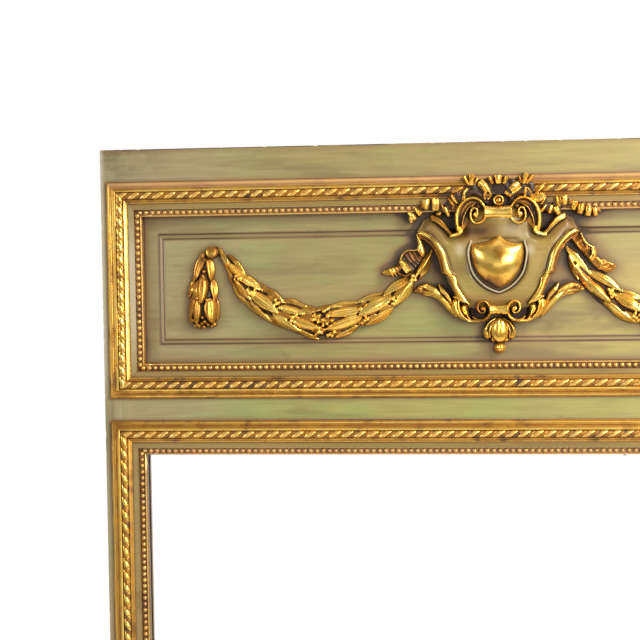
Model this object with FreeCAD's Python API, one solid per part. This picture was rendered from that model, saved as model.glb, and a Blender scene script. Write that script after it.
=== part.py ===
import FreeCAD, Part
import os, math
from FreeCAD import Vector as V

# Pier mirror: green painted and parcel-gilt wood, frieze panel with applied
# carving over a tall mirror plate. Row frame: X to the right, Z up, the front
# faces -Y. The back plane of the frame is y = 0, the origin is the middle of
# its bottom edge. All sizes in millimetres.

# ---- driving dimensions -------------------------------------------------
W = 1136.6            # overall width of the frame
H = 1900.0            # overall height
T = 36.0              # thickness of stiles and rails (front face at y = -T)
STILE_W = 43.6        # width of a stile
MW = 39.5             # width of the gilt moulding
LIP = 35.0            # the moulding passes the edge of the frame member here
PW = 11.0             # width of the pearl slip inside it
SINK = 16.0           # panel field and glass lie this far behind the front face
ZO = H - 440.7        # top of the mirror opening (sight edge)
XM = 559.7            # outer edge of the mouldings
Z_MIR_OUT = ZO + 49.8         # outer top edge of the mirror moulding
Z_FRZ_BOT = ZO + 82.0         # outer bottom edge of the frieze moulding
Z_FRZ_TOP = ZO + 393.7        # outer top edge of the frieze moulding
Z_MIR_BOT = 32.0              # outer bottom edge of the mirror moulding
TOP_RAIL = H - (Z_FRZ_TOP - LIP)                  # width of the top rail
MID_RAIL = (Z_MIR_OUT - LIP, Z_FRZ_BOT + LIP)     # lower and upper edge
BOT_RAIL = Z_MIR_BOT + LIP                        # width of the bottom rail
REB_W, REB_D = 10.0, 9.0      # back rebate for the boards
BOARD_T = 7.0
GLASS_T = 5.0
SILVER_T = 0.3
TENON_L, TENON_T = 30.0, 10.0
GROOVE = 9.0                  # depth of the panel groove
SUNK = 3.0                    # depth of the sunk centre of the frieze panel
RING_R, RING_W = 10.0, 2.0    # hanging ring: bow radius and wire radius
RING_CLEAR = 0.06             # radial clearance of the ring's bar in its eye
HANG_X = 380.0                # hanger position from the middle
Z_PIV = 1866.0                # height of the ring's pivot
Y_PIV = -5.3                  # pivot, in front of the back plane

os.makedirs("parts", exist_ok=True)
XI = W / 2 - STILE_W          # inner edge of a stile
YF = -(T - SINK)              # front of the panel field and of the glass
parts = {}


def box(x0, x1, y0, y1, z0, z1):
    return Part.makeBox(abs(x1 - x0), abs(y1 - y0), abs(z1 - z0),
                        V(min(x0, x1), min(y0, y1), min(z0, z1)))


def cyl_y(r, x, z, y0, y1):
    return Part.makeCylinder(r, abs(y1 - y0), V(x, min(y0, y1), z), V(0, 1, 0))


def cyl_x(r, x0, x1, y, z):
    return Part.makeCylinder(r, abs(x1 - x0), V(min(x0, x1), y, z), V(1, 0, 0))


def cone_y(r0, r1, x, z, y0, y1):
    return Part.makeCone(r0, r1, y1 - y0, V(x, y0, z), V(0, 1, 0))


def fuse(shapes):
    s = shapes[0]
    if len(shapes) > 1:
        s = s.multiFuse(shapes[1:])
    return s.removeSplitter()


def prism(pts, d0, d1):
    """Closed outline of (x, z) points, from depth d0 to d1 in front of the back plane."""
    w = Part.makePolygon([V(x, -d0, z) for x, z in pts] + [V(pts[0][0], -d0, pts[0][1])])
    return Part.Face(w).extrude(V(0, -(d1 - d0), 0))


def keep_big(shape, share=0.02, least=20.0):
    sol = sorted(shape.Solids, key=lambda s: -s.Volume)
    keep = [s for s in sol if s.Volume > least and s.Volume > share * sol[0].Volume]
    return keep[0] if len(keep) == 1 else Part.makeCompound(keep)


# ---- carcass ---------------------------------------------------------------
screw_boards = []      # (x, z) of the screws that hold the backboards
z_mb0, z_mb1 = BOT_RAIL - REB_W, MID_RAIL[0] + REB_W
z_fb0, z_fb1 = MID_RAIL[1] - REB_W, H - TOP_RAIL + REB_W
rebate_m = box(-XI - REB_W, XI + REB_W, 0, -REB_D, z_mb0, z_mb1)
rebate_f = box(-XI - REB_W, XI + REB_W, 0, -REB_D, z_fb0, z_fb1)
panel_groove = box(-XI - GROOVE, XI + GROOVE, -11.4, -16.6,
                   MID_RAIL[1] - GROOVE, H - TOP_RAIL + GROOVE)
rails = {
    "top_rail": (H - TOP_RAIL, H, (H - 66, H - 14)),
    "mid_rail": (MID_RAIL[0], MID_RAIL[1], (MID_RAIL[0] + 20, MID_RAIL[1] - 20)),
    "bottom_rail": (0.0, BOT_RAIL, (10.0, BOT_RAIL - 15)),
}
ty0, ty1 = -18.0, -18.0 - TENON_T
peg_pos = []
stiles = {}
for side in (-1, 1):
    stiles[side] = box(side * XI, side * W / 2, 0, -T, 0, H)
rail_shapes = {}
for name, (za, zb, (ta, tb)) in rails.items():
    r = box(-XI, XI, 0, -T, za, zb)
    for side in (-1, 1):
        r = r.fuse(box(side * XI, side * (XI + TENON_L), ty0, ty1, ta, tb))
        stiles[side] = stiles[side].cut(box(side * XI, side * (XI + TENON_L + 0.5),
                                            ty0, ty1, ta, tb))
        for zz in (ta + 0.25 * (tb - ta), ta + 0.75 * (tb - ta)):
            peg_pos.append((side * (XI + TENON_L - 10), zz))
    rail_shapes[name] = r
pegs = []
for x, z in peg_pos:
    hole = cyl_y(4.0, x, z, 0, -31)
    pegs.append(hole)
    s = -1 if x < 0 else 1
    stiles[s] = stiles[s].cut(hole)
    for name in rail_shapes:
        za, zb, _ = rails[name]
        if za <= z <= zb:
            rail_shapes[name] = rail_shapes[name].cut(hole)
for s in (-1, 1):
    stiles[s] = stiles[s].cut(rebate_m).cut(rebate_f).cut(panel_groove)
for name in rail_shapes:
    rail_shapes[name] = rail_shapes[name].cut(rebate_m).cut(rebate_f)
for name in ("top_rail", "mid_rail"):
    rail_shapes[name] = rail_shapes[name].cut(panel_groove)

# ---- frieze panel: tongued all round, sunk centre with a sloped border --------
fx, fz0, fz1 = 488.0, ZO + 159.0, ZO + 318.5
ix, iz0, iz1 = 481.5, ZO + 166.0, ZO + 311.0
QD = 0.9                      # depth of the quirk at each end of the slope
panel = box(-XI + 0.5, XI - 0.5, -10.5, YF, MID_RAIL[1] + 0.5, H - TOP_RAIL - 0.5)
panel = panel.fuse(box(-XI - GROOVE + 1, XI + GROOVE - 1, -11.6, -16.4,
                       MID_RAIL[1] - GROOVE + 1, H - TOP_RAIL + GROOVE - 1))
panel = panel.cut(box(-fx, fx, YF, YF + QD, fz0, fz1))


slope = Part.makeWedge(-fx + 1.0, 0, fz0 + 1.0, iz0 - 0.9, -ix - 0.9,
                       fx - 1.0, SUNK - QD, fz1 - 1.0, iz1 + 0.9, ix + 0.9)
slope.translate(V(0, YF + QD - 0.4, 0))
panel = panel.cut(slope)
panel = panel.cut(box(-ix, ix, YF, YF + SUNK, iz0, iz1))
panel = panel.removeSplitter()

# ---- mouldings -----------------------------------------------------------------
# u runs from the outer edge inwards, the second figure is the height above the
# front face: fillet and small ovolo, quirk, ridge, rope torus, cove, flat, tongue
MOULD = [("L", (0, 2.2)), ("L", (1.2, 2.2)), ("A", (3.6, 5.0), (6.4, 5.6)), ("L", (7.2, 4.9)),
         ("A", (9.4, 6.7), (12.0, 7.2)), ("L", (13.8, 7.2)), ("L", (14.6, 5.0)),
         ("A", (19.7, 10.6), (24.9, 5.0)), ("L", (25.2, 6.0)), ("L", (26.2, 6.0)),
         ("L", (28.9, 4.4)), ("L", (30.4, 4.4)), ("L", (30.9, 3.4)),
         ("L", (MW, 3.4)), ("L", (MW, -SINK)), ("L", (LIP, -SINK)), ("L", (LIP, 0))]
# the slip: a high seat for the pearls, a fillet, and a steep wall down to the sunk face
PEARL_SEAT = 3.9             # depth of the seat below the flat front of the frame
PEARL = [("L", (MW, -PEARL_SEAT)), ("L", (MW + 0.6, -PEARL_SEAT)),
         ("A", (MW + 4.2, 0.4), (MW + 7.8, -PEARL_SEAT)), ("L", (MW + 8.3, -PEARL_SEAT)),
         ("L", (MW + 8.3, -2.0)), ("L", (MW + 10.2, -2.0)), ("L", (MW + PW, -12.0)),
         ("L", (MW + PW, -SINK))]


def profile_face(start, segs, place):
    edges, p = [], start
    for s in segs:
        if s[0] == "L":
            edges.append(Part.LineSegment(place(*p), place(*s[1])).toShape())
            p = s[1]
        else:
            edges.append(Part.Arc(place(*p), place(*s[1]), place(*s[2])).toShape())
            p = s[2]
    edges.append(Part.LineSegment(place(*p), place(*start)).toShape())
    return Part.Face(Part.Wire(edges))


def mitred(start, segs, x, z0, z1, side):
    """One length of a moulding round the rectangle -x..x, z0..z1, mitred at 45 degrees."""
    big = 60.0
    if side in ("top", "bottom"):
        zz, s = (z1, -1) if side == "top" else (z0, 1)
        face = profile_face(start, segs, lambda u, h: V(-x, -(T + h), zz + s * u))
        bar = face.extrude(V(2 * x, 0, 0))
        trap = [(-x, zz), (x, zz), (x - big, zz + s * big), (-x + big, zz + s * big)]
    else:
        xx, s = (-x, 1) if side == "left" else (x, -1)
        face = profile_face(start, segs, lambda u, h: V(xx + s * u, -(T + h), z0))
        bar = face.extrude(V(0, 0, z1 - z0))
        trap = [(xx, z0), (xx, z1), (xx + s * big, z1 - big), (xx + s * big, z0 + big)]
    return bar.common(prism(trap, T - SINK - 1, T + 30))


frames = {"frieze": (XM, Z_FRZ_BOT, Z_FRZ_TOP), "mirror": (XM, Z_MIR_BOT, Z_MIR_OUT)}
mould = {}
for fname, (x, z0, z1) in frames.items():
    for side in ("top", "bottom", "left", "right"):
        mould[f"{fname}_moulding_{side}"] = mitred((0, 0), MOULD, x, z0, z1, side)
        mould[f"{fname}_pearls_{side}"] = mitred((MW, -SINK), PEARL, x, z0, z1, side)

# pins through the outer part of each moulding into the frame member behind it
pins = []
U_PIN = 6.0


def pin(x, z):
    return cyl_y(0.8, x, z, -20.0, -(T + 4.0))


pin_sets = []
for fname, (x, z0, z1) in frames.items():
    nx = 5
    for i in range(nx):
        px = -x + 60 + (2 * x - 120) * i / (nx - 1)
        pin_sets.append((f"{fname}_moulding_top", px, z1 - U_PIN))
        pin_sets.append((f"{fname}_moulding_bottom", px, z0 + U_PIN))
    nz = 2 if fname == "frieze" else 6
    for i in range(nz):
        pz = z0 + 60 + (z1 - z0 - 120) * (i / (nz - 1))
        pin_sets.append((f"{fname}_moulding_left", -x + U_PIN, pz))
        pin_sets.append((f"{fname}_moulding_right", x - U_PIN, pz))
for name, x, z in pin_sets:
    p = pin(x, z)
    pins.append(p)
    mould[name] = mould[name].cut(p)
    if abs(x) > XI:
        s = -1 if x < 0 else 1
        stiles[s] = stiles[s].cut(p)
        for r in rail_shapes:        # a pin may pass a tenon
            za, zb, (ta, tb) = rails[r]
            if ta - 1 < z < tb + 1:
                rail_shapes[r] = rail_shapes[r].cut(p)
    else:
        for r in rail_shapes:
            za, zb, _ = rails[r]
            if za < z < zb:
                rail_shapes[r] = rail_shapes[r].cut(p)

# ---- mirror plate, its coat and the blocks that hold it ---------------------------
gx, gz0, gz1 = XI - 2.0, BOT_RAIL + 2.0, MID_RAIL[0] - 2.0
glass = box(-gx, gx, YF + GLASS_T, YF, gz0, gz1)
silver = box(-gx, gx, YF + GLASS_T + SILVER_T, YF + GLASS_T, gz0, gz1)
blocks = []
yb0, yb1 = -REB_D - 0.3, YF + GLASS_T + SILVER_T
for i in range(5):
    zc = gz0 + 120 + (gz1 - gz0 - 240) * i / 4
    for s in (-1, 1):
        blocks.append(box(s * XI, s * (XI - 14), yb0, yb1, zc - 25, zc + 25))
for i in range(3):
    xc = -350 + 350 * i
    blocks.append(box(xc - 20, xc + 20, yb0, yb1, BOT_RAIL, BOT_RAIL + 14))
    blocks.append(box(xc - 20, xc + 20, yb0, yb1, MID_RAIL[0] - 14, MID_RAIL[0]))

# ---- backboards --------------------------------------------------------------------
by0, by1 = -(REB_D - BOARD_T), -REB_D
bx = XI + REB_W - 0.5
boards = []
NB, GAP, LAP = 5, 0.8, 6.0
bw = 2 * bx / NB
ym = (by0 + by1) / 2
for i in range(NB):
    xa, xb = -bx + i * bw, -bx + (i + 1) * bw
    la = GAP if i else 0.0               # open joint at the back
    fa = LAP + GAP if i else 0.0         # the front half starts beyond the lap
    fb = LAP if i < NB - 1 else 0.0      # and runs under the next board
    backh = box(xa + la, xb, by0, ym, z_mb0 + 0.5, z_mb1 - 0.5)
    front = box(xa + fa, xb + fb, ym, by1, z_mb0 + 0.5, z_mb1 - 0.5)
    boards.append(front.fuse(backh).removeSplitter())
frieze_board = box(-bx, bx, by0, by1, z_fb0 + 0.5, z_fb1 - 0.5)
bscrews = []


def board_screw(x, z):
    head = Part.makeSphere(5.0, V(x, by0 - 3.4, z)).common(
        box(x - 6, x + 6, by0, by0 + 4, z - 6, z + 6))
    slot = box(x - 6, x + 6, by0 + 1.2, by0 + 3, z - 0.5, z + 0.5)
    shank = cyl_y(1.8, x, z, by0, -REB_D - 8)
    return head.fuse(shank).cut(slot).removeSplitter()


for i in range(NB):
    for f in (0.25, 0.75):
        x = -bx + (i + f) * bw
        for z, r in ((z_mb0 + 5.5, "bottom_rail"), (z_mb1 - 5.5, "mid_rail")):
            boards[i] = boards[i].cut(cyl_y(2.1, x, z, 0, by1 - 0.001))
            rail_shapes[r] = rail_shapes[r].cut(cyl_y(1.8, x, z, -REB_D, -REB_D - 8))
            bscrews.append(board_screw(x, z))
for i in range(4):
    x = -450 + 300 * i
    for z, r in ((z_fb0 + 5.0, "mid_rail"), (z_fb1 - 5.0, "top_rail")):
        frieze_board = frieze_board.cut(cyl_y(2.1, x, z, 0, by1 - 0.001))
        # shorter ones, because the panel's groove lies beyond
        rail_shapes[r] = rail_shapes[r].cut(cyl_y(1.8, x, z, -REB_D, -11.2))
        bscrews.append(board_screw(x, z).common(box(x - 8, x + 8, 0, -11.2, z - 8, z + 8)))

# ---- hanging rings on the back of the top rail -----------------------------------------
plates, hscrews, rings = [], [], {}
yp0, yp1 = Y_PIV - 4.2, -12.0           # back and front of the plate
for s, nm in ((-1, "left"), (1, "right")):
    x = s * HANG_X
    rail_shapes["top_rail"] = rail_shapes["top_rail"].cut(
        box(x - 32, x + 32, 0, -12.0, Z_PIV - 25, Z_PIV + 26))
    pl = box(x - 28, x + 28, yp0, yp1, Z_PIV - 9, Z_PIV + 9)
    eye = cyl_x(4.2, x - 6, x + 6, Y_PIV, Z_PIV).fuse(
        box(x - 6, x + 6, Y_PIV, yp0, Z_PIV - 4.2, Z_PIV + 4.2))
    pl = pl.fuse(eye).removeSplitter().cut(cyl_x(RING_W + RING_CLEAR, x - 7, x + 7, Y_PIV, Z_PIV))
    for dx in (-20, 20):
        shank = cyl_y(2.0, x + dx, Z_PIV, yp0, -26.0)
        cone = cone_y(2.0, 4.4, x + dx, Z_PIV, yp0 - 2.4, yp0)
        pl = pl.cut(cone).cut(cyl_y(2.0, x + dx, Z_PIV, 0, yp1 - 1))
        rail_shapes["top_rail"] = rail_shapes["top_rail"].cut(cyl_y(2.0, x + dx, Z_PIV, -11, -26))
        sc = cone.fuse(shank).removeSplitter().cut(
            box(x + dx - 6, x + dx + 6, yp0 - 0.9, yp0 + 1, Z_PIV - 0.5, Z_PIV + 0.5))
        hscrews.append(sc)
    plates.append(pl)
    # D ring: straight bar in the eye, rounded corners, legs and a round bow
    c, leg = 3.0, 8.0
    tor = []
    tor.append(cyl_x(RING_W, x - (RING_R - c), x + (RING_R - c), Y_PIV, Z_PIV))
    for sg in (-1, 1):
        corner = Part.makeTorus(c, RING_W, V(0, 0, 0), V(0, 1, 0))
        corner.translate(V(x + sg * (RING_R - c), Y_PIV, Z_PIV - c))
        q = box(x + sg * (RING_R - c), x + sg * (RING_R + 4), Y_PIV - 3, Y_PIV + 3, Z_PIV - c, Z_PIV + 4)
        tor.append(corner.common(q))
        tor.append(Part.makeCylinder(RING_W, leg - c, V(x + sg * RING_R, Y_PIV, Z_PIV - leg), V(0, 0, 1)))
    bow = Part.makeTorus(RING_R, RING_W, V(0, 0, 0), V(0, 1, 0))
    bow.translate(V(x, Y_PIV, Z_PIV - leg))
    tor.append(bow.common(box(x - 14, x + 14, Y_PIV - 3, Y_PIV + 3, Z_PIV - leg - 14, Z_PIV - leg)))
    rings[nm] = fuse(tor)

# ---- applied carving: plain envelopes, scribed to the panel and the moulding ---------
back = [panel, rail_shapes["top_rail"], mould["frieze_moulding_top"], mould["frieze_pearls_top"]]
done = []


def near(a, b):
    return a.BoundBox.intersect(b.BoundBox)


def applique(shape, extra=()):
    for b in back + done + list(extra):
        if near(shape, b):
            shape = shape.cut(b)
    shape = keep_big(shape)
    done.append(shape)
    return shape


def zp(pts):
    return [(x, z + ZO) for x, z in pts]


def flip(pts):
    return [(-x, z) for x, z in reversed(pts)]


def band(path, widths):
    """Outline of a band that follows a path, with a width at each point."""
    L, R = [], []
    for i, (x, z) in enumerate(path):
        a = path[max(0, i - 1)]
        b = path[min(len(path) - 1, i + 1)]
        dx, dz = b[0] - a[0], b[1] - a[1]
        n = math.hypot(dx, dz)
        nx, nz = -dz / n, dx / n
        w = widths[i] / 2
        L.append((x + nx * w, z + nz * w))
        R.append((x - nx * w, z - nz * w))
    return L + R[::-1]


D0 = T - SINK - SUNK         # depth of the sunk centre, from the back plane
# silhouettes of the carvings, x across and z above the opening line
GROUND = [(-34.3, 204.5), (34.2, 204.5), (35.7, 206), (43.2, 206.5), (53.7, 213), (64.7, 228.5),
          (74.2, 247.5), (84.7, 284), (90.7, 293.5), (115.7, 315), (105.7, 333.5), (98.7, 336.5),
          (95.7, 340), (91.2, 341), (79.2, 331.5), (67.2, 319), (66.2, 316), (58.7, 310.5), (53.2, 314),
          (54.7, 336), (30.7, 349), (-30.8, 349), (-54.3, 336), (-53.3, 314), (-59.8, 310.5), (-88.8, 340),
          (-94.8, 340.5), (-98.8, 336.5), (-104.8, 334.5), (-112.8, 322), (-114.8, 315), (-92.8, 296.5),
          (-84.8, 284.5), (-80.3, 272.5), (-77.8, 257.5), (-71.3, 241), (-55.8, 215.5), (-43.3, 206.5),
          (-35.8, 206)]
SHIELD = [(-1, 233), (9.5, 236.5), (20, 244.5), (27.5, 253.5), (33.5, 265.5), (37.5, 283.5), (36.5, 298),
          (35, 299.5), (13.5, 303), (6, 308), (2, 313), (-0, 313), (-4, 308.5), (-13, 303), (-27.5, 299.5),
          (-36.5, 299.5), (-38.5, 297), (-39, 290.5), (-37.5, 272), (-32, 258.5), (-20.5, 244.5),
          (-9.5, 236.5)]
STRAP = [(-31.5, 184.5), (-23.5, 185), (-15.5, 188.5), (-9.5, 195.5), (-8.5, 204.5), (-13.5, 206),
         (-18, 196.5), (-22, 194), (-38, 193.5), (-41.5, 204), (-41.5, 209), (-38.5, 210.5), (-38.5, 212.5),
         (-55.5, 240), (-57.5, 251), (-63.5, 256), (-66.5, 262), (-71.5, 283), (-77, 294), (-99.5, 316),
         (-103.5, 318), (-112.5, 316.5), (-115.5, 313.5), (-112.5, 307), (-99, 298.5), (-91.5, 289.5),
         (-85, 274.5), (-81.5, 256), (-79.5, 254), (-72.5, 252.5), (-63, 227.5), (-65, 224.5), (-64, 220.5),
         (-68, 212), (-67.5, 206), (-64.5, 199.5), (-51, 189), (-43.5, 186)]
WING = [(-61, 192), (-58.5, 192), (-56.5, 194.5), (-56, 201), (-61.5, 208.5), (-66.5, 226.5), (-78, 241.5),
        (-85, 243.5), (-87, 240), (-89.5, 239.5), (-96.5, 243.5), (-107.5, 243.5), (-115, 241.5),
        (-121.5, 236), (-121.5, 229.5), (-110, 226.5), (-104, 223), (-96.5, 223), (-87, 218),
        (-81.5, 213.5), (-74, 203)]
TOPSC = [(-67.7, 305.2), (-55.7, 306.7), (-49.2, 310.2), (-46.2, 318.2), (-40.2, 325.2), (-37.2, 325.7),
         (-31.2, 322.7), (-23.2, 323.2), (-15.7, 330.7), (-8.2, 332.2), (15.3, 331.2), (19.3, 325.7),
         (25.8, 322.7), (34.3, 323.2), (38.8, 325.7), (46.3, 318.2), (47.3, 311.7), (57.3, 306.2),
         (67.3, 305.2), (69.8, 310.7), (59.3, 316.2), (61.3, 325.7), (61.3, 338.7), (58.8, 348.2),
         (53.8, 356.7), (43.8, 364.2), (39.8, 365.7), (26.8, 364.2), (20.3, 359.2), (15.8, 352.2),
         (-8.2, 351.2), (-16.7, 352.7), (-17.7, 356.2), (-27.7, 364.7), (-40.2, 365.7), (-50.2, 360.2),
         (-59.2, 347.2), (-61.2, 338.2), (-59.7, 316.2), (-69.7, 311.7), (-69.7, 307.2)]
BASESC = [(-29.1, 186.1), (-20.6, 186.6), (-13.6, 191.1), (-10.1, 197.1), (-5.1, 198.1), (7.9, 197.6),
          (20.4, 186.6), (30.9, 186.6), (38.9, 193.6), (40.4, 200.1), (38.9, 212.6), (33.4, 217.6),
          (23.9, 221.1), (16.9, 220.6), (10.9, 213.6), (3.4, 212.1), (-9.6, 213.1), (-17.1, 220.6),
          (-26.6, 220.6), (-35.6, 216.1), (-40.1, 210.1), (-39.1, 194.1), (-33.6, 188.1)]
BUD = [(-1.6, 140.8), (3.9, 140.8), (8.9, 144.3), (10.9, 149.3), (8.9, 157.3), (12.9, 158.3), (15.4, 161.8),
       (20.9, 161.8), (25.4, 168.8), (23.4, 182.8), (15.4, 191.8), (7.4, 195.8), (-5.1, 195.8),
       (-12.1, 192.8), (-18.1, 187.8), (-23.6, 176.8), (-22.1, 164.8), (-18.1, 161.3), (-13.1, 161.8),
       (-11.6, 158.8), (-6.6, 157.3), (-8.6, 154.3), (-8.6, 147.3)]
BOW = [(-5.5, 347.9), (4.5, 347.9), (15.5, 351.4), (25, 361.4), (31.5, 364.4), (33.5, 364.4), (36.5, 360.9),
       (43.5, 360.9), (51.5, 353.4), (59.5, 353.4), (67.5, 360.4), (66.5, 366.4), (61, 369.9),
       (66.5, 374.9), (68.5, 380.9), (66.5, 383.4), (64, 383.4), (53.5, 377.4), (53, 380.4), (49, 383.9),
       (53, 390.4), (48, 395.4), (45, 393.9), (37, 397.9), (34, 396.4), (33, 392.9), (26.5, 391.9),
       (25, 388.9), (18, 389.4), (10.5, 393.9), (1, 394.4), (-10, 394.4), (-17, 389.4), (-24.5, 388.9),
       (-29.5, 391.9), (-31, 395.4), (-45, 395.4), (-51, 390.9), (-45.5, 382.4), (-45.5, 377.9),
       (-51, 369.9), (-56, 372.9), (-59, 372.9), (-61, 370.9), (-61.5, 363.9), (-59, 358.4), (-56, 355.4),
       (-50, 354.9), (-43, 361.4), (-37.5, 363.9), (-32, 363.9), (-25.5, 361.4), (-18, 352.4)]
TAIL_L = [(-124.5, 326.5), (-118.5, 327.5), (-101.5, 344.5), (-89.5, 343), (-87, 341), (-86, 336.5),
          (-79.5, 336.5), (-78.5, 339.5), (-75, 340.5), (-71, 334.5), (-67.5, 335), (-64.5, 337.5),
          (-65.5, 345.5), (-58, 350), (-57, 353), (-53.5, 355.5), (-54.5, 359.5), (-50.5, 364),
          (-50.5, 373.5), (-52.5, 375), (-58, 374.5), (-62, 370), (-66, 368.5), (-67.5, 365), (-75, 358),
          (-79, 358), (-80.5, 363.5), (-93, 364), (-101, 361.5), (-107.5, 362), (-108.5, 358.5),
          (-119, 349.5), (-120, 346), (-125, 347.5), (-129, 343), (-129, 340.5), (-126.5, 338.5),
          (-127, 332.5)]
TAIL_R = [(122.5, 331.5), (125, 331.5), (126.5, 334), (130.5, 333), (133, 335), (137.5, 331.5),
          (140, 331.5), (143, 334.5), (142, 338), (145, 343), (137, 350), (120.5, 350.5), (116, 355),
          (109, 357), (97.5, 364), (79.5, 363.5), (77.5, 362), (77.5, 357), (73, 354), (69, 364),
          (58.5, 375), (52.5, 375.5), (51, 374), (51, 363.5), (54, 360), (59, 347.5), (57, 341),
          (60.5, 338.5), (65, 340.5), (70.5, 336.5), (78.5, 338), (81, 334.5), (85.5, 335), (89, 337.5),
          (88.5, 343), (93, 346.5), (96.5, 346.5), (105, 340), (111.5, 338), (113, 333.5)]
FLUT = [(-132, 250), (-128, 250.5), (-121, 255.5), (-120.5, 258.5), (-111.5, 267.5), (-106, 278.5),
        (-101, 283.5), (-101, 291), (-106.5, 306.5), (-114, 315.5), (-116.5, 314.5), (-114.5, 300.5),
        (-115.5, 293.5), (-132, 291), (-139, 283), (-141.5, 270), (-155, 266.5), (-165.5, 260.5),
        (-165, 256), (-162, 254), (-151, 252.5), (-149.5, 251), (-138, 253)]
SWAG = [(-263.2, 162.2), (-255.7, 162.2), (-254.7, 166.7), (-249.7, 168.7), (-245.7, 166.2),
        (-236.2, 166.2), (-232.2, 164.2), (-217.7, 166.2), (-207.2, 171.2), (-197.2, 181.7),
        (-177.7, 182.7), (-160.7, 190.2), (-151.2, 199.2), (-146.2, 207.7), (-126.2, 222.2),
        (-120.7, 229.7), (-117.7, 242.7), (-112.7, 246.7), (-108.7, 247.2), (-97.7, 258.7), (-94.2, 267.7),
        (-94.2, 277.7), (-90.2, 285.7), (-90.2, 292.7), (-96.2, 292.7), (-103.7, 285.7), (-109.2, 278.2),
        (-115.7, 264.2), (-121.2, 261.2), (-126.7, 254.7), (-136.2, 253.7), (-144.2, 250.7),
        (-151.7, 245.7), (-162.2, 234.2), (-169.2, 231.2), (-183.2, 230.2), (-195.7, 224.7),
        (-200.2, 220.7), (-224.7, 220.2), (-236.2, 215.7), (-248.2, 215.2), (-258.7, 211.2),
        (-266.7, 214.7), (-274.2, 215.2), (-292.7, 225.2), (-307.7, 225.2), (-320.7, 238.2),
        (-330.2, 241.2), (-339.2, 248.2), (-343.7, 248.7), (-346.7, 253.2), (-353.7, 258.2),
        (-359.7, 259.7), (-363.2, 268.7), (-372.7, 281.7), (-382.7, 289.2), (-389.2, 288.7),
        (-398.2, 300.2), (-401.7, 300.7), (-402.7, 293.2), (-401.2, 286.2), (-389.2, 262.2),
        (-388.2, 250.7), (-381.2, 239.2), (-380.2, 231.7), (-375.2, 224.2), (-363.7, 215.2),
        (-351.2, 202.2), (-323.7, 185.2), (-313.2, 181.2), (-308.7, 181.7), (-291.7, 172.2),
        (-280.2, 169.2), (-273.7, 164.7), (-264.7, 163.7)]
DROP = [(-424.7, 179.8), (-420.7, 179.8), (-416.2, 183.8), (-413.2, 181.3), (-405.7, 182.8),
        (-403.2, 185.8), (-404.7, 191.8), (-400.2, 194.3), (-398.7, 199.8), (-398.7, 215.8),
        (-401.7, 224.3), (-400.2, 241.3), (-406.2, 252.8), (-404.7, 260.3), (-405.7, 275.8),
        (-409.7, 283.3), (-417.2, 288.3), (-420.7, 294.8), (-428.2, 289.3), (-436.2, 275.8),
        (-440.2, 252.8), (-445.2, 245.3), (-447.7, 232.3), (-447.2, 225.8), (-444.7, 223.3),
        (-447.2, 212.3), (-445.7, 189.8), (-444.2, 188.3), (-440.7, 189.3), (-439.2, 187.3),
        (-439.7, 183.8), (-437.7, 181.8), (-426.7, 181.8)]

# the two trailing ends of the bow lie on the panel and lap over the moulding
parts["ribbon_tail_left"] = applique(prism(zp(TAIL_L), D0, 50.2))
parts["ribbon_tail_right"] = applique(prism(zp(TAIL_R), D0, 50.2))

# the cartouche: a ground with a raised field and a high crest, the shield let into it
INNER = [(-52, 312), (-60, 300), (-58, 270), (-46, 240), (-22, 226), (0, 222),
         (22, 226), (46, 240), (58, 270), (60, 300), (52, 312), (30, 330), (0, 333), (-30, 330)]
CREST = [(-24, 315), (24, 315), (24, 340), (14, 346), (-14, 346), (-24, 340)]
ground = prism(zp(GROUND), D0, 42.4).fuse(prism(zp(INNER), 42.4, 46.0))
ground = ground.fuse(prism(zp(CREST), 42.4, 52.6)).removeSplitter()
ground = ground.cut(prism(zp(SHIELD), 37.0, 60.0))
parts["cartouche_ground"] = applique(ground)
parts["cartouche_shield"] = applique(prism(zp(SHIELD), 37.0, 58.0))
parts["cartouche_top_scroll"] = applique(prism(zp(TOPSC), D0, 57.2))
parts["cartouche_base_scroll"] = applique(prism(zp(BASESC), D0, 48.2))
for nm, fn in (("left", lambda p: p), ("right", flip)):
    parts[f"cartouche_strap_{nm}"] = applique(prism(zp(fn(STRAP)), D0, 47.6))
    parts[f"acanthus_{nm}"] = applique(prism(zp(fn(WING)), D0, 34.0))

# pendant bud: calyx and berry
parts["pendant_bud"] = applique(prism(zp(BUD), D0, 41.2))

# ribbon bow above the scroll and over the knotted ends of the tails
parts["ribbon_bow"] = applique(prism(zp(BOW), 34.5, 59.4))

# swags, their pegs, the drops below the pegs and the fluttering ribbons
PEG = (-408.0, 291.5)
PEG_R = 8.6
pegs_front = []
for nm, fn, s in (("left", lambda p: p, 1), ("right", flip, -1)):
    peg = cyl_y(PEG_R, s * PEG[0], ZO + PEG[1], -D0, -37.6)
    dome = Part.makeSphere(12.0, V(s * PEG[0], -29.4, ZO + PEG[1])).common(
        cyl_y(PEG_R, s * PEG[0], ZO + PEG[1], -37.6, -60.0))
    pegs_front.append(applique(peg.fuse(dome).removeSplitter()))
    parts[f"swag_{nm}"] = applique(prism(zp(fn(SWAG)), D0, 38.0))
    parts[f"swag_ribbon_{nm}"] = applique(prism(zp(fn(FLUT)), D0, 35.2))
    parts[f"drop_{nm}"] = applique(prism(zp(fn(DROP)), D0, 36.0))

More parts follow.
